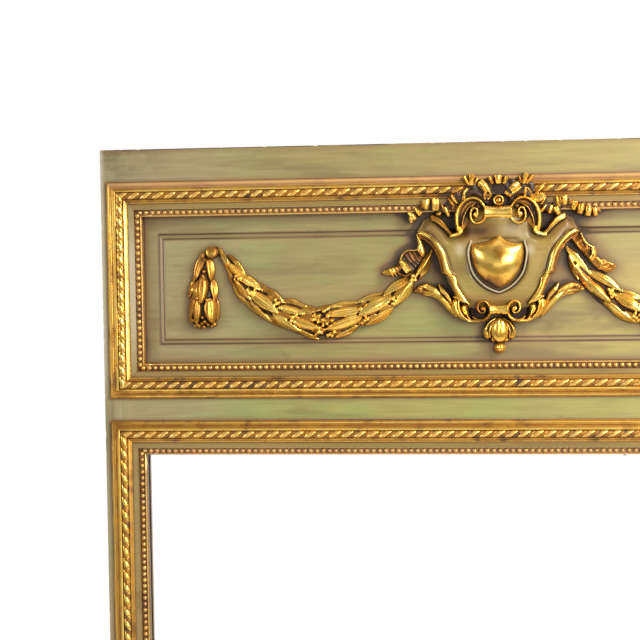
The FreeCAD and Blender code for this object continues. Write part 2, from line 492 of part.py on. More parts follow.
# screws from behind the panel into the cartouche
cscrews = []
for x, z in ((0, 245), (-38, 300), (38, 300)):
    z = z + ZO
    sh = cyl_y(1.9, x, z, -10.5, -34.0)
    head = cyl_y(4.0, x, z, -9.1, -10.5).cut(box(x - 5, x + 5, -9.8, -9, z - 0.5, z + 0.5))
    cscrews.append(head.fuse(sh).removeSplitter())
    panel = panel.cut(cyl_y(1.9, x, z, -10, -D0))
    parts["cartouche_ground"] = parts["cartouche_ground"].cut(cyl_y(1.9, x, z, -10, -34.0))

# ---- gather the nodes ---------------------------------------------------------------
parts["stile_left"] = stiles[-1]
parts["stile_right"] = stiles[1]
parts.update(rail_shapes)
parts["tenon_pegs"] = Part.makeCompound(pegs)
parts["frieze_panel"] = panel
parts["frieze_backboard"] = frieze_board
for i, b in enumerate(boards):
    parts[f"mirror_backboard_{i + 1}"] = b
parts["backboard_screws"] = Part.makeCompound(bscrews)
parts["mirror_glass"] = glass
parts["mirror_silvering"] = silver
parts["glazing_blocks"] = Part.makeCompound(blocks)
parts.update(mould)
parts["moulding_pins"] = Part.makeCompound(pins)
parts["swag_pegs"] = Part.makeCompound(pegs_front)
parts["hanger_plates"] = Part.makeCompound(plates)
parts["hanger_screws"] = Part.makeCompound(hscrews)
for nm, r in rings.items():
    parts[f"hanger_ring_{nm}"] = r
parts["cartouche_screws"] = Part.makeCompound(cscrews)

assert len(parts) <= 60, len(parts)
for name, shape in sorted(parts.items()):
    bb = shape.BoundBox
    ok = shape.isValid()
    print(f"{name:26s} solids {len(shape.Solids):3d} valid {ok} vol {shape.Volume / 1000:9.1f} cm3"
          f"  x {bb.XMin:8.1f} {bb.XMax:8.1f}  y {bb.YMin:7.1f} {bb.YMax:6.1f}  z {bb.ZMin:7.1f} {bb.ZMax:7.1f}")
    shape.exportStep(f"parts/{name}.step")
print(len(parts), "nodes")
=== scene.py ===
import bpy, math
import numpy as np
from mathutils import Matrix, Vector


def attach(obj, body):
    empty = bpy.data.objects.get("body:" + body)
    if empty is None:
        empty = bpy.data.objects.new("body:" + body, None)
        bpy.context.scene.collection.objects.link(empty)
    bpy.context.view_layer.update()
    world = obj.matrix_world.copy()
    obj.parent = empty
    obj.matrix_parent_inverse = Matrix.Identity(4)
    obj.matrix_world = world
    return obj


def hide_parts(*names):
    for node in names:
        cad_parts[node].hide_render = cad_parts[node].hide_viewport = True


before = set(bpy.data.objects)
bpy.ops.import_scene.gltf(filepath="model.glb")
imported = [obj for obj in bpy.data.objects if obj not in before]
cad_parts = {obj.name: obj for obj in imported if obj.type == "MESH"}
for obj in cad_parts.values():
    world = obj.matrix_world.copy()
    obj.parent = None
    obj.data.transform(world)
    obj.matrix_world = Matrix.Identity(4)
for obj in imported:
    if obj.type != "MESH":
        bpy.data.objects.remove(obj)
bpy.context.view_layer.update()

# Pier mirror. Lengths in this file are millimetres in the row frame until a
# mesh is made. "Height" of the carving is measured from the sunk centre of the
# frieze panel towards the viewer.
MM = 0.001
T, SINK, SUNK = 36.0, 16.0, 3.0
ZO = 1459.3                      # top of the mirror opening
XM = 559.7                       # outer edge of the mouldings
Y0 = -(T - SINK - SUNK)          # sunk centre of the panel
FRZ = (ZO + 82.0, ZO + 393.7)
MIR = (32.0, ZO + 49.8)
CX, CZ, CD = -25.52, 287.28, 2121.9    # camera, seen from the front face, Z above ZO
rng = np.random.default_rng(7)


def at(pts, hd=0.0):
    """Points read on the plane of the front face, moved to where they are hd behind it."""
    k = (CD + hd) / CD
    return [(CX + (p[0] - CX) * k, CZ + (p[1] - CZ) * k) for p in pts]


def flip(pts):
    return [(-p[0], p[1]) for p in pts]


# ---------------------------------------------------------------- materials
def nodes_of(mat):
    mat.use_nodes = True
    nt = mat.node_tree
    nt.nodes.clear()
    out = nt.nodes.new("ShaderNodeOutputMaterial")
    return nt, out


class Net:
    """Short hand for a node tree."""

    def __init__(self, name):
        self.mat = bpy.data.materials.new(name)
        self.nt, self.out = nodes_of(self.mat)

    def new(self, kind, **kw):
        n = self.nt.nodes.new(kind)
        for k, v in kw.items():
            setattr(n, k, v)
        return n

    def link(self, a, b):
        self.nt.links.new(a, b)

    def put(self, sock, v):
        if isinstance(v, bpy.types.NodeSocket):
            self.link(v, sock)
        else:
            sock.default_value = v

    def math(self, op, a, b=None, c=None, clamp=False):
        n = self.new("ShaderNodeMath", operation=op, use_clamp=clamp)
        for i, v in enumerate((a, b, c)):
            if v is not None:
                self.put(n.inputs[i], v)
        return n.outputs[0]

    def mix(self, f, a, b, mode="MIX"):
        n = self.new("ShaderNodeMix", data_type="RGBA", blend_type=mode)
        self.put(n.inputs[0], f)
        for i, v in ((6, a), (7, b)):
            self.put(n.inputs[i], v if isinstance(v, bpy.types.NodeSocket) else (*v, 1.0))
        return n.outputs[2]

    def mixf(self, f, a, b):
        n = self.new("ShaderNodeMix", data_type="FLOAT")
        self.put(n.inputs[0], f)
        self.put(n.inputs[2], a)
        self.put(n.inputs[3], b)
        return n.outputs[0]

    def ramp(self, f, lo, hi, a=0.0, b=1.0, smooth=True):
        n = self.new("ShaderNodeMapRange", clamp=True)
        n.interpolation_type = "SMOOTHSTEP" if smooth else "LINEAR"
        self.put(n.inputs[0], f)
        for i, v in enumerate((lo, hi, a, b)):
            self.put(n.inputs[i + 1], v)
        return n.outputs[0]

    def coords(self, sx=1.0, sy=1.0, sz=1.0, rot=(0, 0, 0)):
        tc = self.new("ShaderNodeTexCoord")
        mp = self.new("ShaderNodeMapping")
        mp.inputs["Scale"].default_value = (sx, sy, sz)
        mp.inputs["Rotation"].default_value = rot
        self.link(tc.outputs["Object"], mp.inputs[0])
        return mp.outputs[0]

    def noise(self, vec, scale, detail=3.0, rough=0.5, dist=0.0):
        n = self.new("ShaderNodeTexNoise")
        n.inputs["Scale"].default_value = scale
        n.inputs["Detail"].default_value = detail
        n.inputs["Roughness"].default_value = rough
        n.inputs["Distortion"].default_value = dist
        self.link(vec, n.inputs["Vector"])
        return n.outputs["Fac"]

    def attr(self, name):
        n = self.new("ShaderNodeAttribute", attribute_name=name)
        return n.outputs["Fac"]

    def bump(self, h, dist, strength=1.0, normal=None):
        n = self.new("ShaderNodeBump")
        n.inputs["Strength"].default_value = strength
        n.inputs["Distance"].default_value = dist
        self.link(h, n.inputs["Height"])
        if normal is not None:
            self.link(normal, n.inputs["Normal"])
        return n.outputs[0]

    def shader(self, colour, rough, metal=0.0, normal=None, **kw):
        p = self.new("ShaderNodeBsdfPrincipled")
        self.put(p.inputs["Base Color"], colour if isinstance(colour, bpy.types.NodeSocket) else (*colour, 1))
        self.put(p.inputs["Roughness"], rough)
        self.put(p.inputs["Metallic"], metal)
        if normal is not None:
            self.link(normal, p.inputs["Normal"])
        for k, v in kw.items():
            p.inputs[k.replace("_", " ")].default_value = v
        self.link(p.outputs[0], self.out.inputs[0])
        return p


GREEN = (0.262, 0.207, 0.081)
GREEN_LIGHT = (0.232, 0.232, 0.086)
GREEN_DULL = (0.180, 0.135, 0.056)
GREEN_PALE = (0.285, 0.243, 0.138)
BROWN = (0.155, 0.082, 0.029)
PLUM = (0.134, 0.078, 0.039)
WARM = (0.335, 0.245, 0.090)


def green_colour(n, along, grime_and_shade, clouds=1.0):
    """Aged paint: brush strokes along one axis, cloudy fading, brown glaze where dirt and painted shade are high."""
    s = {"x": (0.06, 1, 1), "z": (1, 1, 0.06)}[along]
    fine = n.noise(n.coords(*[v * 1.0 for v in s]), 260.0, 4.0, 0.6)
    broad = n.noise(n.coords(*[v ** 0.6 for v in s]), 26.0, 3.0, 0.55)
    cloud = n.noise(n.coords(), 5.0, 3.0, 0.5)
    tc = n.new("ShaderNodeTexCoord")
    sp = n.new("ShaderNodeSeparateXYZ")
    n.link(tc.outputs["Object"], sp.inputs[0])
    if along == "z":
        # the head of the stile was brushed together with the top rail
        head = n.ramp(sp.outputs[2], 1.846, 1.858)
        fine = n.mixf(head, fine, n.noise(n.coords(0.06, 1, 1), 260.0, 4.0, 0.6))
        broad = n.mixf(head, broad, n.noise(n.coords(0.06 ** 0.6, 1, 1), 26.0, 3.0, 0.55))
    band = n.math("ABSOLUTE", n.math("SUBTRACT", sp.outputs[2], 1.525))
    far_top = n.ramp(sp.outputs[2], 1.80, 1.87, 0.0, 0.20)
    greener = n.math("ADD", cloud, n.math("SUBTRACT", n.ramp(band, 0.0, 0.06, 0.10, 0.0), far_top))
    greener = n.math("ADD", greener, n.ramp(n.math("ABSOLUTE", sp.outputs[0]), 0.30, 0.53, 0.04, -0.06))
    c = n.mix(n.ramp(greener, 0.36, 0.66), GREEN, GREEN_LIGHT)
    # warmer and lighter toward the right
    c = n.mix(n.ramp(n.math("ADD", sp.outputs[0], n.math("MULTIPLY", cloud, 0.30)), -0.10, 0.42, 0.0, 0.85), c, WARM)
    low = n.math("MULTIPLY", n.ramp(sp.outputs[2], 1.612, 1.668, 1.0, 0.0), n.ramp(n.noise(n.coords(), 7.5, 2.0), 0.42, 0.60, 0.0, 0.6))
    low = n.math("MULTIPLY", low, n.ramp(sp.outputs[0], 0.02, 0.12, 1.0, 0.15))
    c = n.mix(low, c, (0.330, 0.225, 0.088))
    c = n.mix(n.ramp(band, 0.02, 0.065, 1.0, 0.0), c, n.mix(1.0, c, (0.98, 1.13, 0.90), "MULTIPLY"))
    veil = n.math("MULTIPLY", n.ramp(n.noise(n.coords(), 9.0, 2.0, 0.5), 0.44, 0.58),
                  n.ramp(sp.outputs[0], -0.04, 0.06, 1.0 * clouds, 0.60 * clouds))
    c = n.mix(veil, c, n.mix(1.0, c, (0.95, 1.10, 0.98), "MULTIPLY"))
    # lighter low down on the right
    lighter_low_right = n.math("MULTIPLY", n.ramp(sp.outputs[0], 0.02, 0.12, 0.0, 0.95 * clouds), n.ramp(sp.outputs[2], 1.74, 1.68))
    lighter_low_right = n.math("MULTIPLY", lighter_low_right, n.ramp(sp.outputs[2], 1.595, 1.61))
    c = n.mix(lighter_low_right, c, n.mix(1.0, c, (1.17, 1.19, 1.02), "MULTIPLY"))
    # the paint is painted paler and greyer toward the left hand end, a sheen of light from that side
    c = n.mix(n.ramp(n.math("ADD", sp.outputs[0], n.math("MULTIPLY", cloud, 0.08)), -0.50, -0.20, 0.85, 0.0), c, GREEN_PALE)
    c = n.mix(n.ramp(broad, 0.52, 0.72, 0.0, 0.55), c, (0.290, 0.215, 0.092))
    c = n.mix(n.ramp(broad, 0.50, 0.30, 0.0, 0.75), c, GREEN_DULL)
    c = n.mix(n.ramp(fine, 0.30, 0.75, 0.0, 1.0, smooth=False), n.mix(1.0, c, (0.86, 0.84, 0.80), "MULTIPLY"),
              n.mix(1.0, c, (1.10, 1.09, 1.06), "MULTIPLY"))
    g = n.math("ADD", grime_and_shade, n.math("MULTIPLY", n.math("SUBTRACT", cloud, 0.5), n.math("MULTIPLY", grime_and_shade, 1.1)), clamp=True)
    glaze = n.mix(n.ramp(n.noise(n.coords(), 17.0, 2.0), 0.42, 0.62), BROWN, PLUM)
    # the glaze, which carries dirt and painted shade alike, first warms the paint, then covers it
    c = n.mix(n.ramp(g, 0.0, 0.55, 0.0, 0.75), c, (0.210, 0.128, 0.047))
    c = n.mix(n.ramp(g, 0.35, 1.0, 0.0, 0.92), c, glaze)
    c = n.mix(n.ramp(g, 0.72, 1.0, 0.0, 0.86), c, (0.055, 0.034, 0.017))
    return c, fine, g


def make_green(name, along):
    n = Net(name)
    tc = n.new("ShaderNodeTexCoord")
    sep = n.new("ShaderNodeSeparateXYZ")
    n.link(tc.outputs["Object"], sep.inputs[0])
    x, y, z = sep.outputs
    ax = n.math("ABSOLUTE", x)
    dist = None
    qx = n.math("SUBTRACT", ax, XM * MM)
    for z0, z1 in (FRZ, MIR):
        qz = n.math("SUBTRACT", n.math("ABSOLUTE", n.math("SUBTRACT", z, (z0 + z1) / 2 * MM)), (z1 - z0) / 2 * MM)
        ox, oz = n.math("MAXIMUM", qx, 0.0), n.math("MAXIMUM", qz, 0.0)
        out = n.math("SQRT", n.math("ADD", n.math("MULTIPLY", ox, ox), n.math("MULTIPLY", oz, oz)))
        sdf = n.math("ABSOLUTE", n.math("ADD", out, n.math("MINIMUM", n.math("MAXIMUM", qx, qz), 0.0)))
        dist = sdf if dist is None else n.math("MINIMUM", dist, sdf)
    # darker along the outline of the mouldings: dirt and painted shade at the foot of the step up
    edge = n.ramp(dist, 0.0, 0.008, 0.40, 0.0)
    edge = n.math("MAXIMUM", edge, n.ramp(dist, 0.0005, 0.0017, 0.85, 0.0))
    # the joint between stile and rail, and the outer arrises
    seam = n.math("ABSOLUTE", n.math("SUBTRACT", ax, 0.5247))
    edge = n.math("MAXIMUM", edge, n.ramp(seam, 0.0, 0.0011, 0.22, 0.0))
    # darker along the top edge, with a thin dark line on the front just under it: painted shade where the top face
    # turns away, with dirt
    tz = n.math("SUBTRACT", 1.9, z)
    top = n.ramp(tz, 0.0, 0.012, 0.42, 0.0)
    line = n.math("MULTIPLY", n.ramp(tz, 0.0009, 0.0021, 0.95, 0.0), n.ramp(n.noise(n.coords(), 7.0, 2.0), 0.38, 0.52))
    line = n.math("MULTIPLY", line, n.ramp(y, -0.0356, -0.0340, 1.0, 0.0))
    edge = n.math("MAXIMUM", n.math("MAXIMUM", edge, top), line)
    # brown stains gather at the upper corners
    cx, cz = n.math("SUBTRACT", 0.568, ax), n.math("SUBTRACT", 1.9, z)
    cd = n.math("SQRT", n.math("ADD", n.math("MULTIPLY", cx, n.math("MULTIPLY", cx, 0.35)), n.math("MULTIPLY", cz, cz)))
    blot = n.noise(n.coords(1.0, 1.0, 1.6), 42.0, 4.0, 0.62)
    stain = n.math("MULTIPLY", n.ramp(cd, 0.005, 0.085, 1.0, 0.0), n.ramp(blot, 0.34, 0.62, 0.25, 0.95))
    spots = n.math("MULTIPLY", n.ramp(n.noise(n.coords(0.5, 1.0, 1.0), 33.0, 4.0, 0.7), 0.60, 0.74), 0.45)
    stain = n.math("MAXIMUM", stain, spots)
    back = n.ramp(y, -0.012, -0.001, 0.0, 0.5)
    g = n.math("MAXIMUM", n.math("MAXIMUM", edge, back), n.attr("grime_and_shade"))
    c, fine, g = green_colour(n, along, g)
    c = n.mix(stain, c, n.mix(1.0, c, (0.56, 0.54, 0.50), "MULTIPLY"))
    # the outer edges of the stiles carry a painted sheen, paler higher up, and their arrises are worn to the pale
    # ground in chips
    rim = n.math("MINIMUM", n.math("SUBTRACT", 0.5683, ax), n.math("SUBTRACT", 1.9, z))
    pale = n.math("MULTIPLY", n.ramp(n.math("SUBTRACT", 0.5683, ax), 0.0, 0.0080, 0.60, 0.0), n.ramp(z, 1.50, 1.62, 0.12, 1.0))
    c = n.mix(pale, c, (0.47, 0.435, 0.335))
    wear = n.math("MULTIPLY", n.ramp(rim, 0.0, 0.0016, 1.0, 0.0), n.ramp(n.noise(n.coords(), 60.0, 3.0), 0.56, 0.66))
    wear = n.math("MULTIPLY", wear, n.ramp(y, -0.0356, -0.0342, 1.0, 0.0))
    c = n.mix(wear, c, (0.62, 0.57, 0.46))
    # dust lies on the top edge
    dust = n.math("MULTIPLY", n.ramp(tz, 0.0002, 0.0006, 1.0, 0.0), n.ramp(y, -0.0354, -0.0320, 0.0, 1.0))
    dust = n.math("MULTIPLY", dust, n.ramp(n.noise(n.coords(), 30.0, 4.0, 0.6), 0.30, 0.70, 0.35, 0.80))
    c = n.mix(dust, c, (0.215, 0.190, 0.140))
    nrm = n.bump(fine, 0.00030, 0.55)
    n.shader(c, n.mixf(g, 0.42, 0.52), 0.0, nrm)
    return n.mat


def gold_parts(n, cav, wear_scale=45.0):
    """Base colour, roughness and metal of worn gilding; cav is 0 on ridges and 1 in hollows."""
    cloud = n.noise(n.coords(), wear_scale, 3.0, 0.55)
    fine = n.noise(n.coords(), 420.0, 3.0, 0.6)
    leafc = n.mix(n.ramp(cloud, 0.35, 0.65), (0.95, 0.52, 0.072), (1.0, 0.68, 0.150))
    leafc = n.mix(n.ramp(fine, 0.35, 0.75, 0.0, 0.20), leafc, (0.66, 0.31, 0.034))
    c = cav
    c = n.math("ADD", c, n.math("MULTIPLY", n.math("SUBTRACT", cloud, 0.5), 0.60), clamp=True)
    patina = n.noise(n.coords(), 24.0, 4.0, 0.62, 0.3)
    c0 = c
    c = n.math("ADD", c, n.ramp(patina, 0.50, 0.72, 0.0, 0.30), clamp=True)
    toned = n.mix(n.ramp(c, 0.13, 0.52), leafc, (0.41, 0.172, 0.021))
    dark = n.mix(n.ramp(c, 0.48, 0.78), toned, (0.048, 0.021, 0.009))
    dark = n.mix(n.ramp(c, 0.82, 1.0), dark, (0.024, 0.011, 0.004))
    rubbed = n.ramp(n.noise(n.coords(), 110.0, 3.0, 0.6), 0.60, 0.70, 0.0, 0.55)
    dark = n.mix(n.math("MULTIPLY", rubbed, n.ramp(c, 0.0, 0.35, 1.0, 0.0)), dark, (0.40, 0.15, 0.05))
    metal = n.ramp(c, 0.42, 0.82, 0.84, 0.10)
    rough = n.math("ADD", n.ramp(c0, 0.2, 0.8, 0.22, 0.58), n.math("MULTIPLY", n.math("SUBTRACT", fine, 0.5), 0.10))
    return dark, rough, metal, fine


def make_carved(name, along="x"):
    """Gilding and green paint on one carved piece: the attribute gilt says which."""
    n = Net(name)
    cav = n.attr("cav")
    gilt = n.ramp(n.attr("gilt"), 0.35, 0.65)
    gc, gr, gm, fine = gold_parts(n, cav)
    grime_and_shade = n.math("MAXIMUM", n.math("MULTIPLY", cav, 1.15), n.attr("grime_and_shade"))
    pc, pf, pg = green_colour(n, along, grime_and_shade, 0.0)
    pc = n.mix(1.0, pc, (0.99, 0.87, 0.61), "MULTIPLY")
    # pale paint where the attribute pale is set: painted highlights and sheen
    pc = n.mix(n.attr("pale"), pc, (0.52, 0.45, 0.31))
    # gilding rubbed down to the reddish clay under it
    clay = n.mix(n.ramp(cav, 0.10, 0.75), (0.50, 0.275, 0.125), (0.125, 0.058, 0.025))
    gc = n.mix(n.attr("rub"), gc, clay)
    gm = n.math("MULTIPLY", gm, n.math("SUBTRACT", 1.0, n.math("MULTIPLY", n.attr("rub"), 0.80)))
    pc = n.mix(n.ramp(cav, 0.58, 1.0), pc, (0.030, 0.017, 0.008))
    col = n.mix(gilt, pc, gc)
    rough = n.mixf(gilt, n.mixf(pg, 0.29, 0.55), gr)
    metal = n.math("MULTIPLY", gilt, gm)
    h = n.mixf(gilt, pf, n.math("MULTIPLY", fine, 0.40))
    # a thin old varnish over leaf and paint
    n.shader(col, rough, metal, n.bump(h, 0.00022, 0.45), Coat_Weight=0.20, Coat_Roughness=0.20, Specular_IOR_Level=0.32)
    return n.mat


def make_bare(name, light, dark, along):
    n = Net(name)
    s = {"x": (0.08, 1, 1), "z": (1, 1, 0.08)}[along]
    grain = n.noise(n.coords(*s), 120.0, 5.0, 0.62, 0.4)
    rings = n.new("ShaderNodeTexWave", wave_type="BANDS", bands_direction="X" if along == "z" else "Z")
    rings.inputs["Scale"].default_value = 9.0
    rings.inputs["Distortion"].default_value = 7.0
    rings.inputs["Detail"].default_value = 3.0
    rings.inputs["Detail Scale"].default_value = 0.7
    n.link(n.coords(*[v ** 0.8 for v in s]), rings.inputs["Vector"])
    c = n.mix(n.ramp(grain, 0.3, 0.7), light, dark)
    c = n.mix(n.ramp(rings.outputs["Fac"], 0.55, 0.95, 0.0, 0.55), c, dark)
    stain = n.noise(n.coords(), 4.0, 4.0, 0.6)
    c = n.mix(n.ramp(stain, 0.50, 0.75, 0.0, 0.65), c, tuple(v * 0.42 for v in dark))
    kn = n.new("ShaderNodeTexVoronoi")
    kn.inputs["Scale"].default_value = 5.0
    n.link(n.coords(1, 1, 0.6), kn.inputs["Vector"])
    c = n.mix(n.ramp(kn.outputs["Distance"], 0.035, 0.075, 0.85, 0.0), c, (0.05, 0.022, 0.010))
    n.shader(c, n.ramp(grain, 0.3, 0.7, 0.68, 0.86), 0.0, n.bump(grain, 0.0005, 0.5))
    return n.mat


def make_metal(name, a, b, rough, rust=0.0, metal=1.0):
    n = Net(name)
    m = n.noise(n.coords(), 300.0, 4.0, 0.6)
    blotch = n.noise(n.coords(), 70.0, 3.0, 0.55)
    c = n.mix(n.ramp(m, 0.35, 0.7), a, b)
    c = n.mix(n.ramp(blotch, 0.55, 0.70, 0.0, rust), c, (0.16, 0.055, 0.020))
    n.shader(c, n.ramp(m, 0.3, 0.7, rough - 0.08, rough + 0.12), metal, n.bump(m, 0.00012, 0.5))
    return n.mat


def make_glass():
    n = Net("plate_glass")
    # the plate is clear with a slight green; old polishing leaves it a little uneven
    t = n.noise(n.coords(), 3.0, 2.0)
    c = n.mix(n.ramp(t, 0.3, 0.7), (0.985, 0.995, 0.990), (0.970, 0.990, 0.980))
    p = n.shader(c, 0.0)
    p.inputs["Transmission Weight"].default_value = 1.0
    p.inputs["IOR"].default_value = 1.5
    return n.mat


def make_silver():
    n = Net("silver_coat")
    # foxing: small dark clouds, denser at the edge of the plate
    tc = n.new("ShaderNodeTexCoord")
    sep = n.new("ShaderNodeSeparateXYZ")
    n.link(tc.outputs["Object"], sep.inputs[0])
    x, y, z = sep.outputs
    d = n.math("SUBTRACT", 0.5092, n.math("ABSOLUTE", x))
    d = n.math("MINIMUM", d, n.math("SUBTRACT", ZO * MM, z))
    d = n.math("MINIMUM", d, n.math("SUBTRACT", z, 0.083))
    fox = n.noise(n.coords(), 55.0, 4.0, 0.65)
    near = n.ramp(d, 0.0, 0.010, 0.17, 0.0)
    f = n.ramp(n.math("ADD", fox, near), 0.80, 0.88)
    front = n.mix(f, (0.975, 0.98, 0.975), (0.30, 0.26, 0.20))
    paint = n.mix(n.ramp(n.noise(n.coords(), 12.0, 3.0), 0.4, 0.6), (0.16, 0.12, 0.09), (0.24, 0.17, 0.12))
    isback = n.ramp(y, -0.01480, -0.01472)
    n.shader(n.mix(isback, front, paint), n.math("ADD", n.math("MULTIPLY", f, 0.35), n.math("MULTIPLY", isback, 0.6)),
             n.math("SUBTRACT", 1.0, isback))
    return n.mat


M_GREEN_X = make_green("aged_green_rail", "x")
M_GREEN_Z = make_green("aged_green_stile", "z")
M_CARVED = make_carved("carved_gilt_and_green")
M_BOARD = make_bare("old_softwood_boards", (0.40, 0.245, 0.125), (0.22, 0.115, 0.05), "z")
M_BOARDX = make_bare("old_softwood_board_x", (0.38, 0.235, 0.12), (0.21, 0.11, 0.05), "x")
M_HARD = make_bare("hardwood_pegs", (0.26, 0.15, 0.075), (0.13, 0.065, 0.03), "z")
M_STEEL = make_metal("dull_steel", (0.42, 0.40, 0.37), (0.26, 0.245, 0.225), 0.42, 0.7)
M_IRON = make_metal("black_iron", (0.060, 0.055, 0.050), (0.11, 0.10, 0.09), 0.50, 0.5, 0.85)
M_GLASS = make_glass()
M_SILVER = make_silver()


# ---------------------------------------------------------------- mesh making
def new_mesh(name, verts, faces, mat, body, attrs=None, smooth=True):
    """verts in millimetres; faces an index array or a list of such arrays."""
    me = bpy.data.meshes.new(name)
    verts = np.asarray(verts, np.float32) * MM
    if not isinstance(faces, list):
        faces = [faces]
    faces = [np.asarray(f, np.int32) for f in faces if len(f)]
    loops = np.concatenate([f.ravel() for f in faces])
    sizes = np.concatenate([np.full(len(f), f.shape[1], np.int32) for f in faces])
    starts = np.r_[0, np.cumsum(sizes)[:-1]].astype(np.int32)
    me.vertices.add(len(verts))
    me.vertices.foreach_set("co", verts.ravel())
    me.loops.add(len(loops))
    me.loops.foreach_set("vertex_index", loops)
    me.polygons.add(len(sizes))
    me.polygons.foreach_set("loop_start", starts)
    me.update(calc_edges=True)
    me.validate()
    me.polygons.foreach_set("use_smooth", np.full(len(me.polygons), smooth))
    for k, v in (attrs or {}).items():
        a = me.attributes.new(k, "FLOAT", "POINT")
        a.data.foreach_set("value", np.asarray(v, np.float32))
    me.materials.append(mat)
    ob = bpy.data.objects.new(name, me)
    bpy.context.scene.collection.objects.link(ob)
    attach(ob, body)
    return ob


def crv(pts, n=6, closed=False):
    """Smooth line through the points, and the share of its length at each given point."""
    P = np.array(pts, float)
    if len(P) == 2:
        L = np.linspace(P[0], P[1], n + 1)
        return L, np.array([0.0, 1.0])
    Q = np.vstack([P[-1], P, P[0], P[1]]) if closed else np.vstack([2 * P[0] - P[1], P, 2 * P[-1] - P[-2]])
    out = []
    for i in range(1, len(Q) - 2):
        p0, p1, p2, p3 = Q[i - 1:i + 3]
        t = np.linspace(0, 1, n, endpoint=False)[:, None]
        out.append(0.5 * (2 * p1 + (p2 - p0) * t + (2 * p0 - 5 * p1 + 4 * p2 - p3) * t ** 2
                          + (3 * p1 - p0 - 3 * p2 + p3) * t ** 3))
    L = np.vstack(out + [Q[-2][None] if not closed else Q[1][None]])
    s = np.r_[0, np.cumsum(np.hypot(*np.diff(L, axis=0).T))]
    return L, (s / s[-1])[::n][:len(P)]


def nearest(X, Z, L):
    """Distance to the line, share of its length there, and the side (+ is left of its direction)."""
    d = np.diff(L, axis=0)
    ll = (d ** 2).sum(1)
    seg = np.sqrt(ll)
    s0 = np.r_[0, np.cumsum(seg)]
    best = np.full(X.shape, 1e12)
    bs = np.zeros(X.shape)
    sd = np.ones(X.shape)
    for i in range(len(d)):
        px, pz = X - L[i, 0], Z - L[i, 1]
        t = np.clip((px * d[i, 0] + pz * d[i, 1]) / max(ll[i], 1e-9), 0, 1)
        qx, qz = px - t * d[i, 0], pz - t * d[i, 1]
        dd = qx * qx + qz * qz
        m = dd < best
        best[m] = dd[m]
        bs[m] = (s0[i] + t * seg[i])[m]
        sd[m] = np.where(d[i, 0] * pz - d[i, 1] * px >= 0, 1.0, -1.0)[m]
    return np.sqrt(best), bs / s0[-1], sd


def inside(X, Z, P):
    r = np.zeros(X.shape, bool)
    for (x0, z0), (x1, z1) in zip(P, np.roll(P, -1, axis=0)):
        if z0 == z1:
            continue
        c = (z0 > Z) != (z1 > Z)
        r ^= c & (X < (x1 - x0) * (Z - z0) / (z1 - z0) + x0)
    return r


def blur(a, r):
    """Gaussian blur, r in cells."""
    k = np.arange(-int(3 * r), int(3 * r) + 1)
    w = np.exp(-0.5 * (k / r) ** 2)
    w /= w.sum()
    for ax in (0, 1):
        p = [(0, 0), (0, 0)]
        p[ax] = (len(k) // 2, len(k) // 2)
        b = np.pad(a, p, mode="edge")
        o = np.zeros_like(a)
        for i, f in enumerate(w):
            o += f * (b[i:i + a.shape[0]] if ax == 0 else b[:, i:i + a.shape[1]])
        a = o
    return a


def sstep(x, a, b):
    t = np.clip((x - a) / (b - a), 0, 1)
    return t * t * (3 - 2 * t)


PROF = {
    "round": lambda t, q: np.sqrt(np.clip(1 - t * t, 0, 1)),
    "soft": lambda t, q: np.clip(1 - t * t, 0, 1),
    "flat": lambda t, q: np.sqrt(np.clip(1 - t ** 6, 0, 1)),
    "vee": lambda t, q: 1 - t ** 1.3,
    # channel between two raised edges
    "chan": lambda t, q: np.where(t < 0.80, 0.42 + 0.58 * (t / 0.80) ** 2.2, np.sqrt(np.clip(1 - ((t - 0.8) / 0.2) ** 2, 0, 1))),
    # laurel leaf: two swelling halves with a vein between
    "leaf": lambda t, q: np.sqrt(np.clip(1 - t ** 2.0, 0, 1)) * (1 - 0.24 * np.exp(-(t / 0.15) ** 2)),
    "leaf2": lambda t, q: np.sqrt(np.clip(1 - t ** 2.0, 0, 1))
    * (1 - 0.20 * np.exp(-((q - 0.33) / 0.13) ** 2) - 0.24 * np.exp(-((q + 0.33) / 0.13) ** 2)),
    # ribbon with lengthwise folds
    "pleat": lambda t, q: np.sqrt(np.clip(1 - t ** 8, 0, 1)) * (0.72 + 0.28 * np.cos(q * 9.4)),
    "facet": lambda t, q: np.where(q > 0, 1 - 0.55 * t, 1 - 0.25 * t) * np.sqrt(np.clip(1 - t ** 10, 0, 1)),
}


